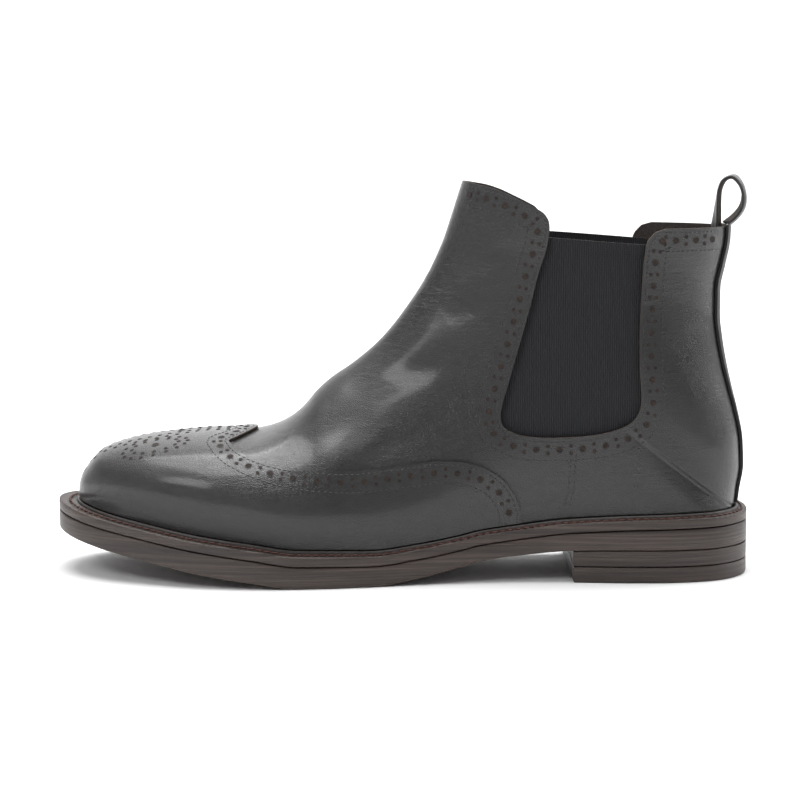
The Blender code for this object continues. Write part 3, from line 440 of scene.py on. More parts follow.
# Soft folds of the leather, seen from the side. Ends as station and height in metres,
# half width, how far the leather stands in (minus) or out (plus), and the side: -1 outer, 1 inner
FOLDS = [
    (0.205, 0.054, 0.168, 0.074, 0.0050, -0.0009, -1), (0.190, 0.050, 0.158, 0.060, 0.0060, 0.0010, -1),
    (0.172, 0.052, 0.142, 0.066, 0.0045, -0.0008, -1), (0.165, 0.082, 0.130, 0.096, 0.0060, -0.0007, -1),
    (0.205, 0.054, 0.168, 0.072, 0.0050, -0.0009, 1), (0.188, 0.050, 0.160, 0.060, 0.0060, 0.0009, 1),
    (0.170, 0.054, 0.140, 0.068, 0.0045, -0.0007, 1), (0.160, 0.080, 0.128, 0.098, 0.0060, -0.0007, 1),
    (0.135, 0.112, 0.108, 0.122, 0.0040, -0.0005, -1), (0.131, 0.124, 0.106, 0.132, 0.0035, 0.0004, -1),
    (0.128, 0.136, 0.102, 0.143, 0.0035, -0.0004, -1), (0.135, 0.112, 0.108, 0.124, 0.0040, -0.0005, 1),
    (0.040, 0.098, 0.018, 0.106, 0.0050, -0.0005, -1), (0.040, 0.100, 0.018, 0.108, 0.0050, -0.0005, 1),
]


def folded(points, normals):
    """The form's points moved in or out along their normals by the folds."""
    shift = np.zeros(points.shape[:2])
    side_share = np.clip(np.abs(points[..., 1]) / 0.012, 0, 1)
    for u0, z0, u1, z1, width, depth, side in FOLDS:
        line = np.array((u1 - u0, z1 - z0))
        away = points[..., [0, 2]] - (u0, z0)
        share = np.clip(away @ line / (line @ line), 0, 1)
        distance = np.linalg.norm(away - share[..., None] * line, axis=-1)
        ends = np.sin(np.pi * np.clip(share, 0.04, 0.96)) ** 0.7
        same = np.where(points[..., 1] * side > 0, side_share, 0)
        shift += depth * ends * same * np.exp(-((distance / width) ** 2))
    return points + shift[..., None] * normals


POINTS, NORMALS = sampled_form()
POINTS = folded(POINTS, NORMALS)


def on_form(row, across, offset=0.0):
    """The point at a row and a place across it, moved outwards.

    Across is -1 at the outer foot, 0 on the ridge line and 1 at the inner foot.
    """
    row, across = np.broadcast_arrays(np.asarray(row, float), np.asarray(across, float))
    r = np.clip(row, 0, LAST_ROW) * ROW_SAMPLES
    c = (np.clip(across, -1, 1) + 1) * HALF_SAMPLES
    i = np.minimum(r.astype(int), POINTS.shape[0] - 2)
    j = np.minimum(c.astype(int), POINTS.shape[1] - 2)
    u, v = (r - i)[..., None], (c - j)[..., None]

    def blend(values):
        near = values[i, j] * (1 - v) + values[i, j + 1] * v
        far = values[i + 1, j] * (1 - v) + values[i + 1, j + 1] * v
        return near * (1 - u) + far * u

    normal = blend(NORMALS)
    return blend(POINTS) + offset * normal / np.linalg.norm(normal, axis=-1)[..., None]


def side_view(points):
    """Side view shares made lengths: stations, and heights over the floor at the back of the welt."""
    outer, _ = outline_sides(welt_reach)
    back, front = outer[0, 0], outer[-1, 0]
    base = float(welt_top(back)) + SEAT
    return [(back + share * (front - back), base + rise * SHAFT_HEIGHT) for share, rise in points]


def placed(points):
    """Points given as (station, y, z) in the boot's frame."""
    points = np.asarray(points, float)
    return np.stack([ORIGIN_STATION - points[..., 0], points[..., 1], points[..., 2]], axis=-1)


def add_face(bm, corners):
    """A face on the corners that differ, or none if fewer than three do."""
    kept = []
    for corner in corners:
        if all((corner.co - other.co).length > MERGE_DISTANCE for other in kept):
            kept.append(corner)
    if len(kept) > 2:
        bm.faces.new(kept)


def smoothed(points, count):
    """A smooth curve through points, as count points a nearly even way apart."""
    points = np.array(points, float)
    along = np.concatenate([[0], np.cumsum(np.linalg.norm(np.diff(points, axis=0), axis=1))])
    at = np.linspace(0, along[-1], count)
    return np.stack([smooth(along, points[:, k], at) for k in range(points.shape[1])], axis=1)


# Materials


def shader_node(tree, kind, inputs=None, **settings):
    node = tree.nodes.new(kind)
    for key, value in settings.items():
        setattr(node, key, value)
    for key, value in (inputs or {}).items():
        if isinstance(value, bpy.types.NodeSocket):
            tree.links.new(value, node.inputs[key])
        else:
            node.inputs[key].default_value = value
    return node


def finish_of(name, colour, roughness, coat=0.0, coat_roughness=0.2, specular=0.5):
    made = bpy.data.materials.new(name)
    made.use_nodes = True
    shader = made.node_tree.nodes["Principled BSDF"]
    shader.inputs["Base Color"].default_value = (*colour, 1)
    shader.inputs["Roughness"].default_value = roughness
    shader.inputs["Coat Weight"].default_value = coat
    shader.inputs["Coat Roughness"].default_value = coat_roughness
    shader.inputs["Specular IOR Level"].default_value = specular
    return made, made.node_tree, shader


def stretched(tree, scale, turn=(0, 0, 0)):
    """Object coordinates times a scale, for a pattern with its own stretch."""
    place = shader_node(tree, "ShaderNodeTexCoord")
    return shader_node(
        tree,
        "ShaderNodeMapping",
        {"Vector": place.outputs["Object"], "Scale": scale, "Rotation": turn},
    ).outputs["Vector"]


def ramp(tree, factor, stops):
    node = shader_node(tree, "ShaderNodeValToRGB", {"Fac": factor})
    while len(node.color_ramp.elements) < len(stops):
        node.color_ramp.elements.new(0.5)
    for element, (position, colour) in zip(node.color_ramp.elements, stops):
        element.position = position
        element.color = (*colour, 1)
    return node.outputs["Color"]


def maths(tree, operation, a, b=0.0, c=0.0):
    return shader_node(tree, "ShaderNodeMath", {0: a, 1: b, 2: c}, operation=operation).outputs[0]


def noise(tree, vector, scale, detail=3.0, rough=0.55):
    node = shader_node(
        tree,
        "ShaderNodeTexNoise",
        {"Vector": vector, "Scale": scale, "Detail": detail, "Roughness": rough},
    )
    return node.outputs[0]


def bumped(tree, shader, height, strength, distance):
    bump = shader_node(
        tree, "ShaderNodeBump", {"Height": height, "Strength": strength, "Distance": distance}
    )
    tree.links.new(bump.outputs["Normal"], shader.inputs["Normal"])
    return bump


def black_calf(name, pebble, wrinkle, roughness=0.3, coat=0.35):
    """Polished black calf: a pebble grain, with finer wrinkles over the shaft's front."""
    made, tree, shader = finish_of(name, (0.010, 0.009, 0.0092), roughness, coat, 0.16)
    even = stretched(tree, (1, 1, 1))
    cells = shader_node(
        tree,
        "ShaderNodeTexVoronoi",
        {"Vector": even, "Scale": 1250.0, "Randomness": 1.0},
        feature="DISTANCE_TO_EDGE",
    ).outputs["Distance"]
    grain = maths(tree, "MINIMUM", cells, 0.25)
    fine = noise(tree, even, 2600.0, 2.0)
    # Wrinkles run round the shaft and fade towards the toe, the heel and the welt
    along = stretched(tree, (130, 130, 620), (0, math.radians(-24), 0))
    ripples = noise(tree, along, 1.0, 4.0, 0.6)
    place = shader_node(tree, "ShaderNodeTexCoord").outputs["Object"]
    split = shader_node(tree, "ShaderNodeSeparateXYZ", {"Vector": place})
    height = shader_node(
        tree, "ShaderNodeMapRange", {"Value": split.outputs["Z"], "From Min": 0.07, "From Max": 0.125}
    ).outputs[0]
    ahead = shader_node(
        tree, "ShaderNodeMapRange", {"Value": split.outputs["X"], "From Min": -0.035, "From Max": -0.06}
    ).outputs[0]
    patch = noise(tree, even, 38.0, 2.0)
    patchy = shader_node(
        tree, "ShaderNodeMapRange", {"Value": patch, "From Min": 0.38, "From Max": 0.62}
    ).outputs[0]
    shaft = maths(tree, "MULTIPLY", height, ahead)
    some = maths(tree, "MULTIPLY_ADD", patchy, 0.35, 0.12)
    amount = maths(tree, "MAXIMUM", shaft, some)
    wrinkles = maths(tree, "MULTIPLY", ripples, amount)
    total = maths(tree, "MULTIPLY_ADD", grain, pebble, maths(tree, "MULTIPLY", fine, 0.12))
    total = maths(tree, "MULTIPLY_ADD", wrinkles, wrinkle, total)
    bumped(tree, shader, total, 1.0, 0.00022)
    rub = noise(tree, even, 24.0, 5.0)
    shade = shader_node(
        tree,
        "ShaderNodeMapRange",
        {
            "Value": rub, "From Min": 0.3, "From Max": 0.7,
            "To Min": roughness - 0.05, "To Max": roughness + 0.12,
        },
    ).outputs[0]
    tree.links.new(shade, shader.inputs["Roughness"])
    tint = ramp(tree, rub, [(0.3, (0.0075, 0.0068, 0.0070)), (0.72, (0.0145, 0.0130, 0.0130))])
    tree.links.new(tint, shader.inputs["Base Color"])
    return made


def rough_leather(name, dark, light, scale, roughness, depth):
    made, tree, shader = finish_of(name, dark, roughness)
    even = stretched(tree, (1, 1, 1))
    fibres = noise(tree, even, scale, 6.0, 0.7)
    tree.links.new(ramp(tree, fibres, [(0.35, dark), (0.7, light)]), shader.inputs["Base Color"])
    bumped(tree, shader, fibres, 1.0, depth)
    return made


def sole_edge(name):
    """The waxed edge of stacked sole leather: fine level streaks, and nicks dented into it."""
    made, tree, shader = finish_of(name, (0.040, 0.028, 0.023), 0.5, 0.12, 0.3)
    layers = noise(tree, stretched(tree, (9, 9, 1500)), 1.0, 5.0, 0.65)
    broad = noise(tree, stretched(tree, (16, 16, 330)), 1.0, 4.0, 0.6)
    nicks = noise(tree, stretched(tree, (60, 60, 2400)), 1.0, 2.0, 0.5)
    both = maths(tree, "MULTIPLY_ADD", layers, 0.55, maths(tree, "MULTIPLY", broad, 0.45))
    tint = ramp(
        tree,
        both,
        [(0.36, (0.013, 0.009, 0.008)), (0.5, (0.038, 0.026, 0.021)), (0.66, (0.085, 0.062, 0.050))],
    )
    tree.links.new(tint, shader.inputs["Base Color"])
    height = maths(tree, "MULTIPLY_ADD", nicks, 0.5, both)
    bumped(tree, shader, height, 1.0, 0.0005)
    return made


def ribbed_elastic(name):
    """Black elastic with fine upright ribs."""
    made, tree, shader = finish_of(name, (0.012, 0.012, 0.0135), 0.85, specular=0.3)
    split = shader_node(
        tree,
        "ShaderNodeSeparateXYZ",
        {"Vector": shader_node(tree, "ShaderNodeTexCoord").outputs["Object"]},
    )
    ribs = maths(tree, "SINE", maths(tree, "MULTIPLY", split.outputs["X"], 2 * math.pi / 0.00095))
    weave = maths(tree, "SINE", maths(tree, "MULTIPLY", split.outputs["Z"], 2 * math.pi / 0.0007))
    yarn = noise(tree, stretched(tree, (1, 1, 1)), 1500.0, 2.0)
    height = maths(tree, "MULTIPLY_ADD", weave, 0.22, ribs)
    height = maths(tree, "MULTIPLY_ADD", yarn, 0.5, height)
    tint = ramp(
        tree,
        maths(tree, "MULTIPLY_ADD", height, 0.3, 0.5),
        [(0.1, (0.005, 0.005, 0.006)), (0.9, (0.020, 0.020, 0.023))],
    )
    tree.links.new(tint, shader.inputs["Base Color"])
    bumped(tree, shader, height, 0.8, 0.00018)
    shader.inputs["Sheen Weight"].default_value = 0.15
    return made


CALF = black_calf("black calf", 1.5, 2.6)
LOOP_CALF = black_calf("black strap calf", 1.5, 1.0, 0.36, 0.15)
STAY_CALF = black_calf("matt black calf", 1.2, 0.6, 0.5, 0.0)
LINING = rough_leather("brown lining", (0.016, 0.011, 0.009), (0.050, 0.037, 0.031), 900.0, 0.75, 0.0004)
RAW_EDGE = rough_leather("raw leather edge", (0.035, 0.026, 0.020), (0.115, 0.085, 0.066), 1500.0, 0.8, 0.0002)
# Dark discs laid on the skin for the perforations: painted shade of each hole's depth, over the rough brown of
# its punched wall
HOLE_SHADE = rough_leather("punched leather", (0.005, 0.0035, 0.003), (0.040, 0.024, 0.017), 700.0, 0.85, 0.0002)
SOLE_EDGE = sole_edge("waxed sole edge")
WELT = rough_leather("dark welt leather", (0.020, 0.016, 0.0145), (0.055, 0.044, 0.039), 500.0, 0.42, 0.0003)
ELASTIC = ribbed_elastic("black elastic")
THREAD, _, _ = finish_of("waxed black thread", (0.014, 0.013, 0.013), 0.38, 0.2)
WELT_THREAD, _, _ = finish_of("red brown welt thread", (0.085, 0.024, 0.014), 0.6)


# Meshes


def made_object(name, bm, surfaces):
    """The object of a closed mesh, with doubled points merged and its faces turned outwards."""
    bmesh.ops.remove_doubles(bm, verts=bm.verts, dist=MERGE_DISTANCE)
    bmesh.ops.recalc_face_normals(bm, faces=bm.faces)
    mesh = bpy.data.meshes.new(name)
    bm.to_mesh(mesh)
    bm.free()
    for surface in surfaces:
        mesh.materials.append(surface)
    thing = bpy.data.objects.new(name, mesh)
    bpy.context.scene.collection.objects.link(thing)
    return thing


def stacked(name, rings, surfaces, closed=False, slot_of=None):
    """A solid through rings of equal count, capped at both ends or, if closed, joined round."""
    bm = bmesh.new()
    levels = [[bm.verts.new(point) for point in placed(points)] for points in rings]
    count = len(levels[0])
    pairs = list(zip(levels, levels[1:]))
    if closed:
        pairs.append((levels[-1], levels[0]))
    for which, (low, high) in enumerate(pairs):
        before = len(bm.faces)
        for k in range(count):
            after = (k + 1) % count
            add_face(bm, [low[k], low[after], high[after], high[k]])
        bm.faces.ensure_lookup_table()
        for face in bm.faces[before:]:
            face.material_index = slot_of(which) if slot_of else 0
    if not closed:
        for level in (levels[0], levels[-1]):
            for k in range(count // 2):
                add_face(bm, [level[k], level[k + 1], level[count - k - 1], level[-k]])
    return made_object(name, bm, surfaces)


def sheet(name, outside, inside, surfaces):
    """A solid sheet between two grids of points: outside takes the first finish, inside the second."""
    bm = bmesh.new()
    outer = [[bm.verts.new(point) for point in row] for row in placed(outside)]
    inner = [[bm.verts.new(point) for point in row] for row in placed(inside)]
    rows, columns = len(outer), len(outer[0])
    for which, side in enumerate((outer, inner)):
        for i in range(rows - 1):
            for j in range(columns - 1):
                add_face(bm, [side[i][j], side[i][j + 1], side[i + 1][j + 1], side[i + 1][j]])
        bm.faces.ensure_lookup_table()
        if which:
            for face in bm.faces[skin:]:
                face.material_index = min(1, len(surfaces) - 1)
        skin = len(bm.faces)
    for i in range(rows - 1):
        gaps = [(outer[k][0].co - outer[k][-1].co).length for k in (i, i + 1)]
        if max(gaps) > MERGE_DISTANCE:
            for j in (0, columns - 1):
                add_face(bm, [outer[i][j], outer[i + 1][j], inner[i + 1][j], inner[i][j]])
    for i in (0, rows - 1):
        for j in range(columns - 1):
            add_face(bm, [outer[i][j], outer[i][j + 1], inner[i][j + 1], inner[i][j]])
    return made_object(name, bm, surfaces)


def prism(name, outline, y_start, y_end, surface):
    """A cutter: a side view outline of (station, z) drawn out across the boot."""
    bm = bmesh.new()
    bm.faces.new([bm.verts.new(placed((station, y_start, z))) for station, z in outline])
    moved = bmesh.ops.extrude_face_region(bm, geom=bm.faces[:])["geom"]
    far = [item for item in moved if isinstance(item, bmesh.types.BMVert)]
    bmesh.ops.translate(bm, verts=far, vec=(0, y_end - y_start, 0))
    return made_object(name, bm, [surface])


def applied(thing):
    """The object's modifiers made part of its mesh."""
    shaped = thing.evaluated_get(bpy.context.evaluated_depsgraph_get())
    mesh = bpy.data.meshes.new_from_object(shaped)
    thing.modifiers.clear()
    thing.data = mesh


def discard(*things):
    for thing in things:
        bpy.data.objects.remove(thing, do_unlink=True)


# A gore comes out empty unless its cut allows for a sheet that crosses itself
SELF_CROSSING = "gore"


def cut(thing, cutter, operation):
    """Cuts with a closed mesh. The new faces keep the cutter's finish."""
    modifier = thing.modifiers.new(operation.lower(), "BOOLEAN")
    modifier.operation = operation
    modifier.object = cutter
    modifier.solver = "EXACT"
    modifier.material_mode = "TRANSFER"
    modifier.use_self = thing.name.startswith(SELF_CROSSING)
    applied(thing)
    discard(cutter)


def tree_and_normals(thing):
    """The mesh's triangles, and its smooth normals, to look up after it has been cut."""
    mesh = thing.data
    mesh.calc_loop_triangles()
    points = [vertex.co.copy() for vertex in mesh.vertices]
    normals = [vertex.normal.copy() for vertex in mesh.vertices]
    triangles = [tuple(triangle.vertices) for triangle in mesh.loop_triangles]
    return BVHTree.FromPolygons(points, triangles), points, normals, triangles


def normal_at(found, tree, points, normals, triangles):
    place, _, index, _ = tree.find_nearest(found)
    a, b, c = triangles[index]
    corners = (points[a], points[b], points[c])
    if min((corners[0] - corners[1]).length, (corners[1] - corners[2]).length) < MERGE_DISTANCE:
        return normals[a]
    return barycentric_transform(place, *corners, normals[a], normals[b], normals[c]).normalized()


def shaded_like(thing, whole, skin_names):
    """Smooth shading for the skin faces from the uncut sheet; cut walls keep their own."""
    mesh = thing.data
    mesh.shade_smooth()
    skin = {k for k, surface in enumerate(mesh.materials) if surface.name in skin_names}
    known = {}
    given = [(0.0, 0.0, 0.0)] * len(mesh.loops)
    for face in mesh.polygons:
        if face.material_index not in skin:
            continue
        for loop in face.loop_indices:
            vertex = mesh.loops[loop].vertex_index
            key = (vertex, face.material_index)
            if key not in known:
                lean = face.normal * 0.0004
                known[key] = normal_at(mesh.vertices[vertex].co + lean, *whole)
            if known[key].dot(face.normal) > 0.2:
                given[loop] = tuple(known[key])
    mesh.normals_split_custom_set(given)


# Form of the upper


def skin_grid(offset):
    rows = np.linspace(0, LAST_ROW, LAST_ROW * ROW_SAMPLES + 1)[:, None]
    across = np.linspace(-1, 1, 2 * HALF_SAMPLES + 1)[None, :]
    return on_form(rows, across, offset)


def skin_tree(offset):
    """The form's outside as triangles, to lay seams, stitches and holes on."""
    grid = placed(skin_grid(offset))
    rows, columns = grid.shape[:2]
    points = [Vector(point) for point in grid.reshape(-1, 3)]
    faces = []
    for i in range(rows - 1):
        for j in range(columns - 1):
            k = i * columns + j
            faces.append((k, k + 1, k + columns + 1, k + columns))
    return BVHTree.FromPolygons(points, faces)


SKIN = skin_tree(0.0)


def on_skin(point, lift=0.0):
    """The nearest place on the form, lifted off it, and the outward normal there."""
    place, normal, _, _ = SKIN.find_nearest(Vector(point))
    centre = Vector((max(min(place.x, 0.0), -0.2), 0.0, 0.05))
    if normal.dot(place - centre) < 0:
        normal = -normal
    return place + normal * lift, normal


def laid(points, lift=0.0):
    return [on_skin(point, lift)[0] for point in points]


def side_to_skin(station, z, side):
    """Where a side view place meets the form's outer (-1) or inner (1) side."""
    start = Vector((ORIGIN_STATION - station, side * 0.12, z))
    place, _, _, _ = SKIN.ray_cast(start, Vector((0, -side, 0)))
    return place


def beside(line, distance):
    """A line on the form moved sideways over it: to the left of its course seen from outside."""
    moved = []
    for k, point in enumerate(line):
        _, normal = on_skin(point)
        course = (line[min(k + 1, len(line) - 1)] - line[max(k - 1, 0)]).normalized()
        moved.append(on_skin(point + normal.cross(course) * distance)[0])
    return moved


def places_along(line, pitch, start=0.5, lift=0.0):
    """Evenly pitched places on a line: point, outward normal and course."""
    points = np.array([tuple(point) for point in line])
    lengths = np.linalg.norm(np.diff(points, axis=0), axis=1)
    along = np.concatenate([[0], np.cumsum(lengths)])
    count = max(int(round(along[-1] / pitch)), 1)
    found = []
    for k in range(count):
        at = (k + start) / count * along[-1]
        point = [np.interp(at, along, points[:, axis]) for axis in range(3)]
        ahead = [np.interp(at + pitch / 4, along, points[:, axis]) for axis in range(3)]
        behind = [np.interp(at - pitch / 4, along, points[:, axis]) for axis in range(3)]
        place, normal = on_skin(point, lift)
        found.append((place, normal, (Vector(ahead) - Vector(behind)).normalized()))
    return found


# Repeated pieces


def repeated(name, places, sizes, surface, kind, scales=None):
    """A stitch or a disc at each place, by Geometry Nodes, made one plain mesh."""
    mesh = bpy.data.meshes.new(name)
    mesh.from_pydata([tuple(point) for point, _, _ in places], [], [])
    for attribute, column_index in (("outward", 1), ("course", 2)):
        layer = mesh.attributes.new(attribute, "FLOAT_VECTOR", "POINT")
        layer.data.foreach_set("vector", [c for place in places for c in place[column_index]])
    layer = mesh.attributes.new("share", "FLOAT", "POINT")
    layer.data.foreach_set("value", list(scales) if scales is not None else [1.0] * len(places))
    carrier = bpy.data.objects.new(name, mesh)
    bpy.context.scene.collection.objects.link(carrier)

    tree = bpy.data.node_groups.new(name, "GeometryNodeTree")
    face = tree.interface
    face.new_socket("Geometry", in_out="INPUT", socket_type="NodeSocketGeometry")
    for label in ("Length", "Width", "Height"):
        face.new_socket(label, in_out="INPUT", socket_type="NodeSocketFloat")
    face.new_socket("Finish", in_out="INPUT", socket_type="NodeSocketMaterial")
    face.new_socket("Geometry", in_out="OUTPUT", socket_type="NodeSocketGeometry")
    given = tree.nodes.new("NodeGroupInput")
    result = tree.nodes.new("NodeGroupOutput")
    if kind == "stitch":
        shape = tree.nodes.new("GeometryNodeMeshUVSphere")
        shape.inputs["Segments"].default_value = 6
        shape.inputs["Rings"].default_value = 5
        shape.inputs["Radius"].default_value = 0.5
    else:
        shape = tree.nodes.new("GeometryNodeMeshCylinder")
        shape.inputs["Vertices"].default_value = 16
        shape.inputs["Radius"].default_value = 0.5
        shape.inputs["Depth"].default_value = 1.0
    size = tree.nodes.new("ShaderNodeCombineXYZ")
    for axis, label in zip("XYZ", ("Length", "Width", "Height")):
        tree.links.new(given.outputs[label], size.inputs[axis])
    sized = tree.nodes.new("GeometryNodeTransform")
    tree.links.new(shape.outputs["Mesh"], sized.inputs["Geometry"])
    tree.links.new(size.outputs["Vector"], sized.inputs["Scale"])
    turns = []
    for attribute, axis in (("outward", "Z"), ("course", "X")):
        read = tree.nodes.new("GeometryNodeInputNamedAttribute")
        read.data_type = "FLOAT_VECTOR"
        read.inputs["Name"].default_value = attribute
        turn = tree.nodes.new("FunctionNodeAlignRotationToVector")
        turn.axis = axis
        turn.pivot_axis = "AUTO" if axis == "Z" else "Z"
        tree.links.new(read.outputs["Attribute"], turn.inputs["Vector"])
        if turns:
            tree.links.new(turns[-1].outputs["Rotation"], turn.inputs["Rotation"])
        turns.append(turn)
    share = tree.nodes.new("GeometryNodeInputNamedAttribute")
    share.data_type = "FLOAT"
    share.inputs["Name"].default_value = "share"
    scaled = tree.nodes.new("ShaderNodeCombineXYZ")
    scaled.inputs["Z"].default_value = 1.0
    tree.links.new(share.outputs["Attribute"], scaled.inputs["X"])
    tree.links.new(share.outputs["Attribute"], scaled.inputs["Y"])
    copies = tree.nodes.new("GeometryNodeInstanceOnPoints")
    tree.links.new(given.outputs["Geometry"], copies.inputs["Points"])
    tree.links.new(sized.outputs["Geometry"], copies.inputs["Instance"])
    tree.links.new(turns[-1].outputs["Rotation"], copies.inputs["Rotation"])
    tree.links.new(scaled.outputs["Vector"], copies.inputs["Scale"])
    real = tree.nodes.new("GeometryNodeRealizeInstances")
    tree.links.new(copies.outputs["Instances"], real.inputs["Geometry"])
    coloured = tree.nodes.new("GeometryNodeSetMaterial")
    tree.links.new(real.outputs["Geometry"], coloured.inputs["Geometry"])
    tree.links.new(given.outputs["Finish"], coloured.inputs["Material"])
    tree.links.new(coloured.outputs["Geometry"], result.inputs["Geometry"])

    modifier = carrier.modifiers.new(name, "NODES")
    modifier.node_group = tree
    values = dict(zip(("Length", "Width", "Height"), sizes))
    values["Finish"] = surface
    for item in tree.interface.items_tree:
        if item.in_out == "INPUT" and item.name in values:
            modifier[item.identifier] = values[item.name]
    applied(carrier)
    if kind == "stitch":
        carrier.data.shade_smooth()
    return carrier


def edge_above_welt(row, side, height):
    """Where a row has risen by a height over the welt: 1 at its foot, 0 on the ridge line."""
    share = np.linspace(1, 0, HALF_SAMPLES * 4 + 1)
    line = on_form(row, side * share)
    over = line[:, 2] - welt_top(np.clip(line[:, 0], 0, SOLE_LENGTH))
    return float(np.interp(height, np.maximum.accumulate(over), share))


def row_at_station(across, station):
    """The row in which the form passes a station, at one place across it."""
    rows = np.linspace(0, HEEL_ROW, HEEL_ROW * ROW_SAMPLES + 1)
    line = on_form(rows, across)[:, 0]
    return float(np.interp(-station, -line, rows))


def back_row(z):
    """The row whose foot is at a height on the heel curve."""
    rows = np.linspace(HEEL_ROW, LAST_ROW, (LAST_ROW - HEEL_ROW) * ROW_SAMPLES + 1)
    return float(np.interp(z, on_form(rows, -1.0)[:, 2], rows))


def half_girth(row):
    line = on_form(row, np.linspace(-1, 0, HALF_SAMPLES + 1))
    return float(np.linalg.norm(np.diff(line, axis=0), axis=1).sum())


def back_wall(z, y, offset):
    """Station of the form's back at a height and a distance to the side, moved outwards."""
    row = back_row(z)
    share = np.linspace(0, 0.5, HALF_SAMPLES + 1)
    line = on_form(row, np.sign(y or 1) * (1 - share), offset)
    return float(np.interp(abs(y), np.abs(line[:, 1]), line[:, 0]))


BACK_STATION = float(outline_sides(welt_reach)[0][0, 0])
FRONT_STATION = float(outline_sides(welt_reach)[0][-1, 0])
WING_CURVE = smoothed(WING_LINE, 110)


def wing_places():
    """The wing cap's back edge as rows and places across, from the outer foot to the inner one."""
    found = []
    for side, wing_line in ((-1, WING_CURVE), (1, WING_CURVE[-2::-1])):
        for up, station in wing_line:
            where = side * (1 - up)
            row = row_at_station(where, BACK_STATION + station * (FRONT_STATION - BACK_STATION))
            found.append((row, side, 1 - up))
    return found


def wing_cutter():
    """A thick sheet over the toe, from just above the welt's ridge back to the wing line."""
    height = RIDGE_HEIGHT + 2 * SEAT
    ridge_rows = np.linspace(0, HEEL_ROW, HEEL_ROW * ROW_SAMPLES + 1)
    ridge = on_form(ridge_rows, 0.0)
    first = float(np.interp(height, ridge[:, 2] - welt_top(ridge[:, 0]), ridge_rows))
    grid = []
    for last, side, share in wing_places():
        rows = np.linspace(first, last, CUTTER_ROWS)
        lows = [0.0] + [edge_above_welt(row, side, height) for row in rows[1:]]
        grid.append([(row, side * share * low) for row, low in zip(rows, lows)])
    row, across = np.array(grid).transpose(2, 1, 0)
    outside = on_form(row, across, OUTER_REACH)
    inside = on_form(row, across, SEAT - INNER_REACH)
    return sheet("wing cutter", outside, inside, [RAW_EDGE])


def wing_edge():
    """The wing cap's back edge as places on the form."""
    height = RIDGE_HEIGHT + 2 * SEAT
    line = []
    for row, side, share in wing_places():
        low = edge_above_welt(row, side, height)
        line.append(Vector(placed(on_form(row, side * share * low))))
    return line


# Side views made into smooth curves
COLLAR_CURVE = [tuple(p) for p in smoothed(COLLAR_FRONT + GORE_OPENING[:1], 40)][:-1]
GORE_CURVE = [tuple(p) for p in smoothed(GORE_OPENING, 120)]


def opening_outline():
    """The side view of what is cut away: all above the collar, and the gores' openings."""
    line = side_view(COLLAR_CURVE + GORE_CURVE + COLLAR_BACK)
    high = line[0][1] + SHAFT_HEIGHT / 2
    return line + [(line[-1][0], high), (line[0][0], high)]


def gore_outline():
    """The side view of a gore: its opening spread by the margin that the leather laps over."""
    opening = side_view(GORE_CURVE)
    middle_station = (opening[0][0] + opening[-1][0]) / 2
    corner_centre = min(z for _, z in opening) + 4 * GORE_MARGIN
    (front, front_z), (rear, rear_z) = side_view(GORE_TOP)
    outline = [(front + GORE_MARGIN, front_z)]
    for station, z in opening:
        if z < rear_z - GORE_MARGIN:
            away = np.array((station - middle_station, min(z - corner_centre, 0.0)))
            away *= GORE_MARGIN / np.linalg.norm(away)
            outline.append((station + away[0], z + away[1]))
    return outline + [(rear - GORE_MARGIN, rear_z)]


# The sole


def rounded_edge(level, sign):
    """Rings round a bevelled edge: inset and rise from the level, going outwards."""
    turns = np.linspace(0, math.pi / 2, 4)
    return [
        ring(EDGE_BEVEL * (1 - math.sin(t)), level, sign * EDGE_BEVEL * (1 - math.cos(t))) for t in turns
    ]


def notched(points, depth, pitch):
    """A ring whose points dip by a depth once every pitch along it, as a wheel marks a rim."""
    steps = np.linalg.norm(np.diff(points, axis=0, append=points[:1]), axis=1)
    along = np.concatenate([[0], np.cumsum(steps)[:-1]])
    count = round(float(steps.sum()) / pitch)
    wave = 0.5 + 0.5 * np.cos(2 * math.pi * count * along / steps.sum())
    moved = points.copy()
    moved[:, 2] -= depth * wave**3
    return moved


def welt_ridge_rings():
    """The welt's rounded ridge beside the upper."""
    rings = []
    for turn in np.linspace(0, math.pi, 9):
        share = (1 - math.cos(turn)) / 2

        def inset(station, share=share):
            return ridge_outer(station) + share * RIDGE_WIDTH

        rings.append(ring(inset, welt_top, RIDGE_HEIGHT * math.sin(turn)))
    return rings


def groove(station):
    return 0.62 * ridge_outer(station)


def groove_outer(station):
    return 0.36 * ridge_outer(station)


def groove_inner(station):
    return 0.92 * ridge_outer(station)


def make_welt():
    low = rounded_edge(welt_bottom, 1)
    high = [notched(points, 0.00045, 0.0031) for points in rounded_edge(welt_top, -1)[::-1]]
    rings = low + high
    rings.append(notched(ring(groove_outer, welt_top), 0.0003, 0.0031))
    rings.append(ring(groove, welt_top, -0.0006))
    rings.append(ring(groove_inner, welt_top, -0.0004))
    rings += welt_ridge_rings()
    rings += [ring(welt_inner, welt_top), ring(welt_inner, welt_bottom), ring(welt_reach, welt_bottom)]
    made = stacked("welt", rings, [SOLE_EDGE, WELT], closed=True, slot_of=lambda k: 0 if k < 10 else 1)
    return made


def make_outsole():
    rings = rounded_edge(underside, 1) + rounded_edge(outsole_top, -1)[::-1]
    rings += [ring(welt_reach, outsole_top), ring(platform_edge, outsole_top)]
    rings += [ring(platform_edge, welt_top)]
    return stacked(
        "outsole", rings, [SOLE_EDGE, RAW_EDGE], slot_of=lambda k: 1 if k < 2 else 0
    )


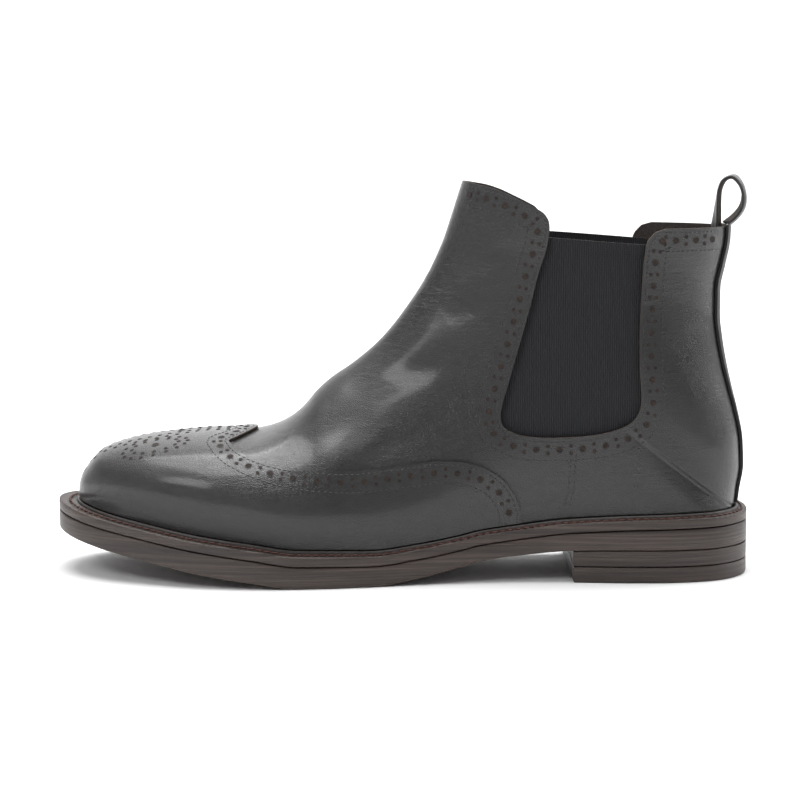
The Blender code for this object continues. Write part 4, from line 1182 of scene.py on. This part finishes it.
def make_heel(name, bottom, level, rise, surfaces):
    rings = [
        ring(EDGE_BEVEL, tread, bottom, end=HEEL_LENGTH - EDGE_BEVEL),
        ring(EDGE_BEVEL * 0.3, tread, bottom + EDGE_BEVEL * 0.3, end=HEEL_LENGTH - EDGE_BEVEL * 0.3),
        ring(0.0, tread, bottom + EDGE_BEVEL, end=HEEL_LENGTH),
        ring(0.0, level, rise - EDGE_BEVEL / 3, end=HEEL_LENGTH),
        ring(EDGE_BEVEL / 3, level, rise, end=HEEL_LENGTH - EDGE_BEVEL / 3),
    ]
    return stacked(name, rings, surfaces)


def make_insole():
    rings = [
        ring(insole_edge, welt_top, SEAT),
        ring(insole_edge, welt_top, SEAT + INSOLE_THICKNESS),
    ]
    return stacked("insole", rings, [LINING])


def welt_stitches():
    line = [Vector(point) for point in placed(ring(groove, welt_top, 0.0001))]
    points = np.array([tuple(point) for point in line + line[:1]])
    along = np.concatenate([[0], np.cumsum(np.linalg.norm(np.diff(points, axis=0), axis=1))])
    count = round(along[-1] / 0.0034)
    places = []
    for k in range(count):
        at = (k + 0.5) / count * along[-1]
        here, ahead = (
            Vector([np.interp(s, along, points[:, axis]) for axis in range(3)])
            for s in (at, min(at + 0.001, along[-1]))
        )
        places.append((here, Vector((0, 0, 1)), (ahead - here).normalized()))
    return repeated("welt_stitches", places, (0.0031, 0.0010, 0.0009), WELT_THREAD, "stitch")


# The upper


def seam_edge(side):
    """The collar's front, the gore's opening and the collar's back, as places on one side."""
    back = [(share, COLLAR_BACK[0][1]) for share in np.linspace(0.128, 0.03, 14)]
    line = []
    for station, z in side_view(COLLAR_CURVE[2:] + GORE_CURVE + back):
        place = side_to_skin(station, z, side)
        if place is not None:
            line.append(place)
    return laid([Vector(p) for p in smoothed([tuple(p) for p in line], 260)])


def perforations(line, pitch, spread, lift):
    """One big hole, then a pair of small ones beside each other, along a line."""
    places, scales = [], []
    for place, normal, course in places_along(line, pitch, 0.5, lift):
        places.append((place, normal, course))
        scales.append(1.0)
    for place, normal, course in places_along(line, pitch, 0.0, lift)[1:]:
        for way in (-1, 1):
            found, outward = on_skin(place + normal.cross(course) * way * spread, lift)
            places.append((found, outward, course))
            scales.append(SMALL_HOLE)
    return places, scales


HOLE = 0.0027
SMALL_HOLE = 0.58
HOLE_PITCH = 0.0101
STITCH = (0.0019, 0.0006, 0.00045)
STITCH_PITCH = 0.0024

# How far the rows lie from the edges of the bands
BAND_STITCHES = (0.0017, 0.0098)
BAND_HOLES = 0.0051
BAND_PAIR_SPREAD = 0.00155
WING_STITCHES = (0.0016, 0.0093)
WING_HOLES = 0.0049
WING_PAIR_SPREAD = 0.0015
# The side seam from the gore's band down to the welt, and its two rows either side of it
SIDE_SEAM = [(0.0785, 0.0555), (0.0792, 0.048), (0.0795, 0.040), (0.0812, 0.0325)]
SIDE_SEAM_ROWS = (-0.0011, 0.0011)
# The wing's peak is looked for this near the middle, and the toe pattern starts this far ahead of it
PEAK_REACH = 0.012
TOE_START = 0.009

# Toe pattern seen from above: distance ahead of its start, distance beside the ridge line
TOE_ROWS = [
    [(0.004, 0.0022), (0.016, 0.0026), (0.028, 0.0055), (0.040, 0.0080), (0.052, 0.0070), (0.064, 0.0035)],
    [(0.004, 0.0060), (0.015, 0.0066), (0.026, 0.0100), (0.039, 0.0125), (0.053, 0.0112), (0.066, 0.0070)],
]
# The loop's middle, its distance beside the ridge line, half its length and half its width
TOE_LOOP = (0.0345, 0.0215, 0.0140, 0.0085)
TOE_BIG = [(0.0345, 0.0215), (0.0250, 0.0), (0.0680, 0.0)]
TOE_PITCH = 0.0040


def toe_pattern(peak_station):
    """The punched toe pattern: double rows beside the ridge line and a double loop on each side."""
    spots = []
    for side in (-1, 1):
        for row in TOE_ROWS:
            line = smoothed(row, 40)
            length = np.linalg.norm(np.diff(line, axis=0), axis=1).sum()
            for ahead, beside_ridge in smoothed(row, max(int(length / TOE_PITCH), 2)):
                spots.append((ahead, side * beside_ridge, SMALL_HOLE))
        middle, across, half_length, half_width = TOE_LOOP
        for grow, count in ((1.0, 16), (0.72, 12)):
            for turn in np.linspace(0, 2 * math.pi, count, endpoint=False):
                ahead = middle + half_length * grow * math.cos(turn)
                spots.append((ahead, side * (across + half_width * grow * math.sin(turn)), SMALL_HOLE))
    for ahead, beside_ridge in TOE_BIG:
        spots += [(ahead, way * beside_ridge, 1.1) for way in ((-1, 1) if beside_ridge else (1,))]
    places, scales = [], []
    for ahead, beside_ridge, size in spots:
        station = peak_station + ahead
        ridge_y = TOE_SWING * np.interp(station, (0.19, 0.25), (0.55, 1.0))
        start = Vector((ORIGIN_STATION - station, ridge_y + beside_ridge, 0.15))
        place, _, _, _ = SKIN.ray_cast(start, Vector((0, 0, -1)))
        if place is None:
            continue
        found, outward = on_skin(place, OVERLAY_LIFT)
        places.append((found, outward, Vector((1, 0, 0))))
        scales.append(size)
    return places, scales


OVERLAY_LIFT = SEAT + OVERLAY_THICKNESS


def make_upper(edges):
    thing = sheet("upper", skin_grid(0.0), skin_grid(-WALL), [CALF, LINING])
    whole = tree_and_normals(thing)
    cut(thing, prism("opening cutter", opening_outline(), -BALL, BALL, RAW_EDGE), "DIFFERENCE")
    shaded_like(thing, whole, (CALF.name, LINING.name))
    return thing


def make_wing(edge):
    thing = sheet("wing_cap", skin_grid(OVERLAY_LIFT), skin_grid(SEAT), [CALF, RAW_EDGE])
    whole = tree_and_normals(thing)
    cut(thing, wing_cutter(), "INTERSECT")
    shaded_like(thing, whole, (CALF.name,))
    return thing


def make_backstay():
    """The strip down the back seam."""
    bottom = float(welt_top(WELT_REACH_HEEL)) + RIDGE_HEIGHT + 2 * SEAT
    top = side_view(COLLAR_BACK)[0][1]
    rows = np.linspace(back_row(bottom), back_row(top), 90)
    outside, inside = [], []
    for row in rows:
        reach = BACKSTAY_WIDTH / 2 / half_girth(row)
        across = np.concatenate([np.linspace(reach - 1, -1, 8), np.linspace(1, 1 - reach, 8)[1:]])
        outside.append(on_form(row, across, OVERLAY_LIFT))
        inside.append(on_form(row, across, SEAT))
    thing = sheet("backstay", np.array(outside), np.array(inside), [STAY_CALF])
    thing.data.shade_smooth()
    thing.data.set_sharp_from_angle(angle=math.radians(40))
    return thing


def make_gore(name, y_start, y_end):
    """Elastic behind the leather; make_gore_hem adds its folded top."""
    outer = WALL + SEAT
    inner = outer + GORE_THICKNESS
    thing = sheet(name, skin_grid(-outer), skin_grid(-inner), [ELASTIC])
    whole = tree_and_normals(thing)
    cut(thing, prism(f"{name} cutter", gore_outline(), y_start, y_end, ELASTIC), "INTERSECT")
    shaded_like(thing, whole, (ELASTIC.name,))
    return thing


def make_gore_hem(name, y_start, y_end):
    """The elastic's folded top edge."""
    outer = WALL + SEAT - 0.00022
    inner = WALL + SEAT + GORE_THICKNESS + 0.0002
    thing = sheet(name, skin_grid(-outer), skin_grid(-inner), [ELASTIC])
    (front, front_z), (rear, rear_z) = side_view(GORE_TOP)
    low = 0.0042
    outline = [
        (front + GORE_MARGIN, front_z + 0.0003), (rear - GORE_MARGIN, rear_z + 0.0003),
        (rear - GORE_MARGIN, rear_z - low), (front + GORE_MARGIN, front_z - low),
    ]
    cut(thing, prism(f"{name} cutter", outline, y_start, y_end, ELASTIC), "INTERSECT")
    thing.data.shade_smooth()
    thing.data.set_sharp_from_angle(angle=math.radians(40))
    return thing


def make_pull_loop():
    """A strap from the backstay's top, turned over and down inside the collar."""
    collar = side_view(COLLAR_BACK)[0][1]
    depth = -(WALL + LOOP_GAP + LOOP_THICKNESS / 2)
    inside = back_wall(collar, 0.0, depth)
    line = [(back_wall(collar, 0.0, SEAT + OVERLAY_THICKNESS / 2), collar + LOOP_START * LOOP_HEIGHT)]
    line += [(inside - back * LOOP_DEPTH, collar + up * LOOP_HEIGHT) for back, up in LOOP_PATH]
    line = smoothed(line, 120)
    across = np.linspace(-LOOP_WIDTH / 2, LOOP_WIDTH / 2, STRAP_COLUMNS)
    bends = [back_wall(collar, y, depth) - inside for y in across]
    grid = []
    for station, z in spaced(np.array(line), STRAP_ROWS):
        up = min(max((z - collar) / LOOP_HEIGHT, 0), 1)
        turned = across * math.tan(LOOP_TURN)
        along = [station + bend * (1 - up) - turn * up for bend, turn in zip(bends, turned)]
        grid.append([(at, y, z) for at, y in zip(along, across)])
    for drop in np.linspace(0, LOOP_TAIL, TAIL_ROWS + 1)[1:]:
        z = collar - drop
        grid.append([(back_wall(z, y, depth), y, z) for y in across])
    grid = np.array(grid)
    normals = np.cross(np.gradient(grid, axis=0), np.gradient(grid, axis=1))
    normals /= np.linalg.norm(normals, axis=2)[:, :, None]
    edge = np.clip(1 - np.abs(np.linspace(-1, 1, STRAP_COLUMNS)), 0, 0.12) / 0.12
    half = LOOP_THICKNESS / 2 * (0.55 + 0.45 * np.sqrt(edge))[None, :, None]
    thing = sheet("pull_loop", grid + half * normals, grid - half * normals, [LOOP_CALF, RAW_EDGE])
    thing.data.shade_smooth()
    thing.data.set_sharp_from_angle(angle=math.radians(50))
    return thing


def holes_on_boot(edges, wing):
    """Every hole: places and sizes for the bands, the wing's edge and the toe."""
    places, scales = perforations(beside(wing, WING_HOLES), HOLE_PITCH, WING_PAIR_SPREAD, OVERLAY_LIFT)
    peak = max(range(len(wing)), key=lambda k: wing[k].z if abs(wing[k].y) < PEAK_REACH else 0)
    found = [toe_pattern(ORIGIN_STATION - wing[peak].x + TOE_START)]
    for side, edge in edges:
        found.append(perforations(beside(edge, side * BAND_HOLES), HOLE_PITCH, BAND_PAIR_SPREAD, 0.0))
    for more, sizes in found:
        places += more
        scales += sizes
    return places, scales


def rows_of_stitches(edges, wing):
    """Every row of stitches on the upper."""
    places = []
    for side, edge in edges:
        for distance in BAND_STITCHES:
            places += places_along(beside(edge, side * distance), STITCH_PITCH, 0.5, 0.0)
        for shift in SIDE_SEAM_ROWS:
            seam = [side_to_skin(station + shift, z, side) for station, z in SIDE_SEAM]
            places += places_along(laid(seam), STITCH_PITCH, 0.5, 0.0)
    for distance in WING_STITCHES:
        places += places_along(beside(wing, distance), STITCH_PITCH, 0.5, OVERLAY_LIFT)
    return repeated("upper_stitches", places, STITCH, THREAD, "stitch")


# Assembly


def settled(thing, slot, *nodes):
    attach(thing, "root")
    if nodes:
        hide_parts(*nodes)


EDGES = [(side, seam_edge(side)) for side in (-1, 1)]
WING_EDGE = wing_edge()

outsole, welt = make_outsole(), make_welt()
stack = make_heel("heel_stack", TOP_PIECE_THICKNESS + SEAT, underside, -SEAT, [SOLE_EDGE])
top_piece = make_heel("heel_top_piece", 0.0, tread, TOP_PIECE_THICKNESS, [SOLE_EDGE])
for piece in (outsole, welt, stack, top_piece):
    piece.data.shade_smooth()
    piece.data.set_sharp_from_angle(angle=math.radians(40))
settled(outsole, "sole_leather", "outsole")
settled(welt, "sole_leather", "welt")
settled(stack, "sole_leather", "heel_stack")
settled(top_piece, "rubber", "heel_top_piece")
settled(make_insole(), "lining", "insole")
settled(welt_stitches(), "sole_leather")

settled(make_upper(EDGES), "calf", "upper")
settled(make_wing(WING_EDGE), "calf", "wing_cap")
settled(make_backstay(), "calf", "backstay")
settled(make_gore("gore_lateral", -BALL, 0.0), "elastic", "gore_lateral")
settled(make_gore("gore_medial", 0.0, BALL), "elastic", "gore_medial")
settled(make_gore_hem("gore_hem_lateral", -BALL, 0.0), "elastic")
settled(make_gore_hem("gore_hem_medial", 0.0, BALL), "elastic")
settled(make_pull_loop(), "calf", "pull_loop")
settled(rows_of_stitches(EDGES, WING_EDGE), "calf")
HOLES, HOLE_SCALES = holes_on_boot(EDGES, WING_EDGE)
# Raised rims of glossy calf, then dark discs: painted shade standing in for the depth of each hole
for label, size, surface in (
    ("hole_rims", (HOLE * 1.3, HOLE * 1.3, 0.00016), LOOP_CALF),
    ("holes", (HOLE, HOLE, 0.00028), HOLE_SHADE),
):
    settled(repeated(label, HOLES, size, surface, "disc", HOLE_SCALES), "calf")


# Floor, lights and camera


def make_floor():
    """A pale floor that curves up behind the boot."""
    turns = [(-4.0, 0.0), (2.0, 0.0)]
    turns += [(2.0 + math.sin(t), 1.0 - math.cos(t)) for t in np.linspace(0, math.pi / 2, 13)[1:]]
    turns += [(3.0, 4.0)]
    bm = bmesh.new()
    columns = [[bm.verts.new((x, y, z)) for y, z in turns] for x in (-5, 5)]
    for k in range(len(turns) - 1):
        bm.faces.new([columns[0][k], columns[1][k], columns[1][k + 1], columns[0][k + 1]])
    mesh = bpy.data.meshes.new("floor")
    bm.to_mesh(mesh)
    bm.free()
    pale, _, _ = finish_of("pale floor", (0.9, 0.9, 0.9), 0.9, specular=0.1)
    mesh.materials.append(pale)
    mesh.shade_smooth()
    floor = bpy.data.objects.new("floor", mesh)
    bpy.context.scene.collection.objects.link(floor)


def softbox(name, place, aim, size, power):
    light = bpy.data.lights.new(name, "AREA")
    light.shape = "RECTANGLE"
    light.size, light.size_y = size
    light.energy = power
    made = bpy.data.objects.new(name, light)
    made.location = place
    made.rotation_mode = "QUATERNION"
    made.rotation_quaternion = (Vector(aim) - Vector(place)).to_track_quat("-Z", "Y")
    bpy.context.scene.collection.objects.link(made)


make_floor()
softbox("overhead", (-0.15, 0.15, 1.6), (-0.1, 0.0, 0.0), (1.6, 1.1), 34)
softbox("front left", (-1.0, -0.9, 1.1), (-0.15, 0.0, 0.05), (0.6, 0.5), 7)
softbox("behind right", (1.3, 0.5, 0.8), (0.0, 0.0, 0.08), (0.4, 0.9), 8)
softbox("backdrop", (0.0, 1.2, 2.6), (0.0, 3.0, 1.0), (3.0, 1.0), 90)

world = bpy.data.worlds.new("studio")
world.use_nodes = True
world.node_tree.nodes["Background"].inputs["Color"].default_value = (0.32, 0.32, 0.33, 1)
bpy.context.scene.world = world
bpy.context.scene.view_settings.view_transform = "Standard"

lens = bpy.data.cameras.new("camera")
lens.sensor_width = 36
lens.lens = 108.2
camera = bpy.data.objects.new("camera", lens)
camera.location = (-0.11355, -1.05, 0.205)
camera.rotation_mode = "QUATERNION"
aim = Vector((-0.11355, 0.0, 0.0745)) - camera.location
camera.rotation_quaternion = aim.to_track_quat("-Z", "Y")
bpy.context.scene.collection.objects.link(camera)
bpy.context.scene.camera = camera
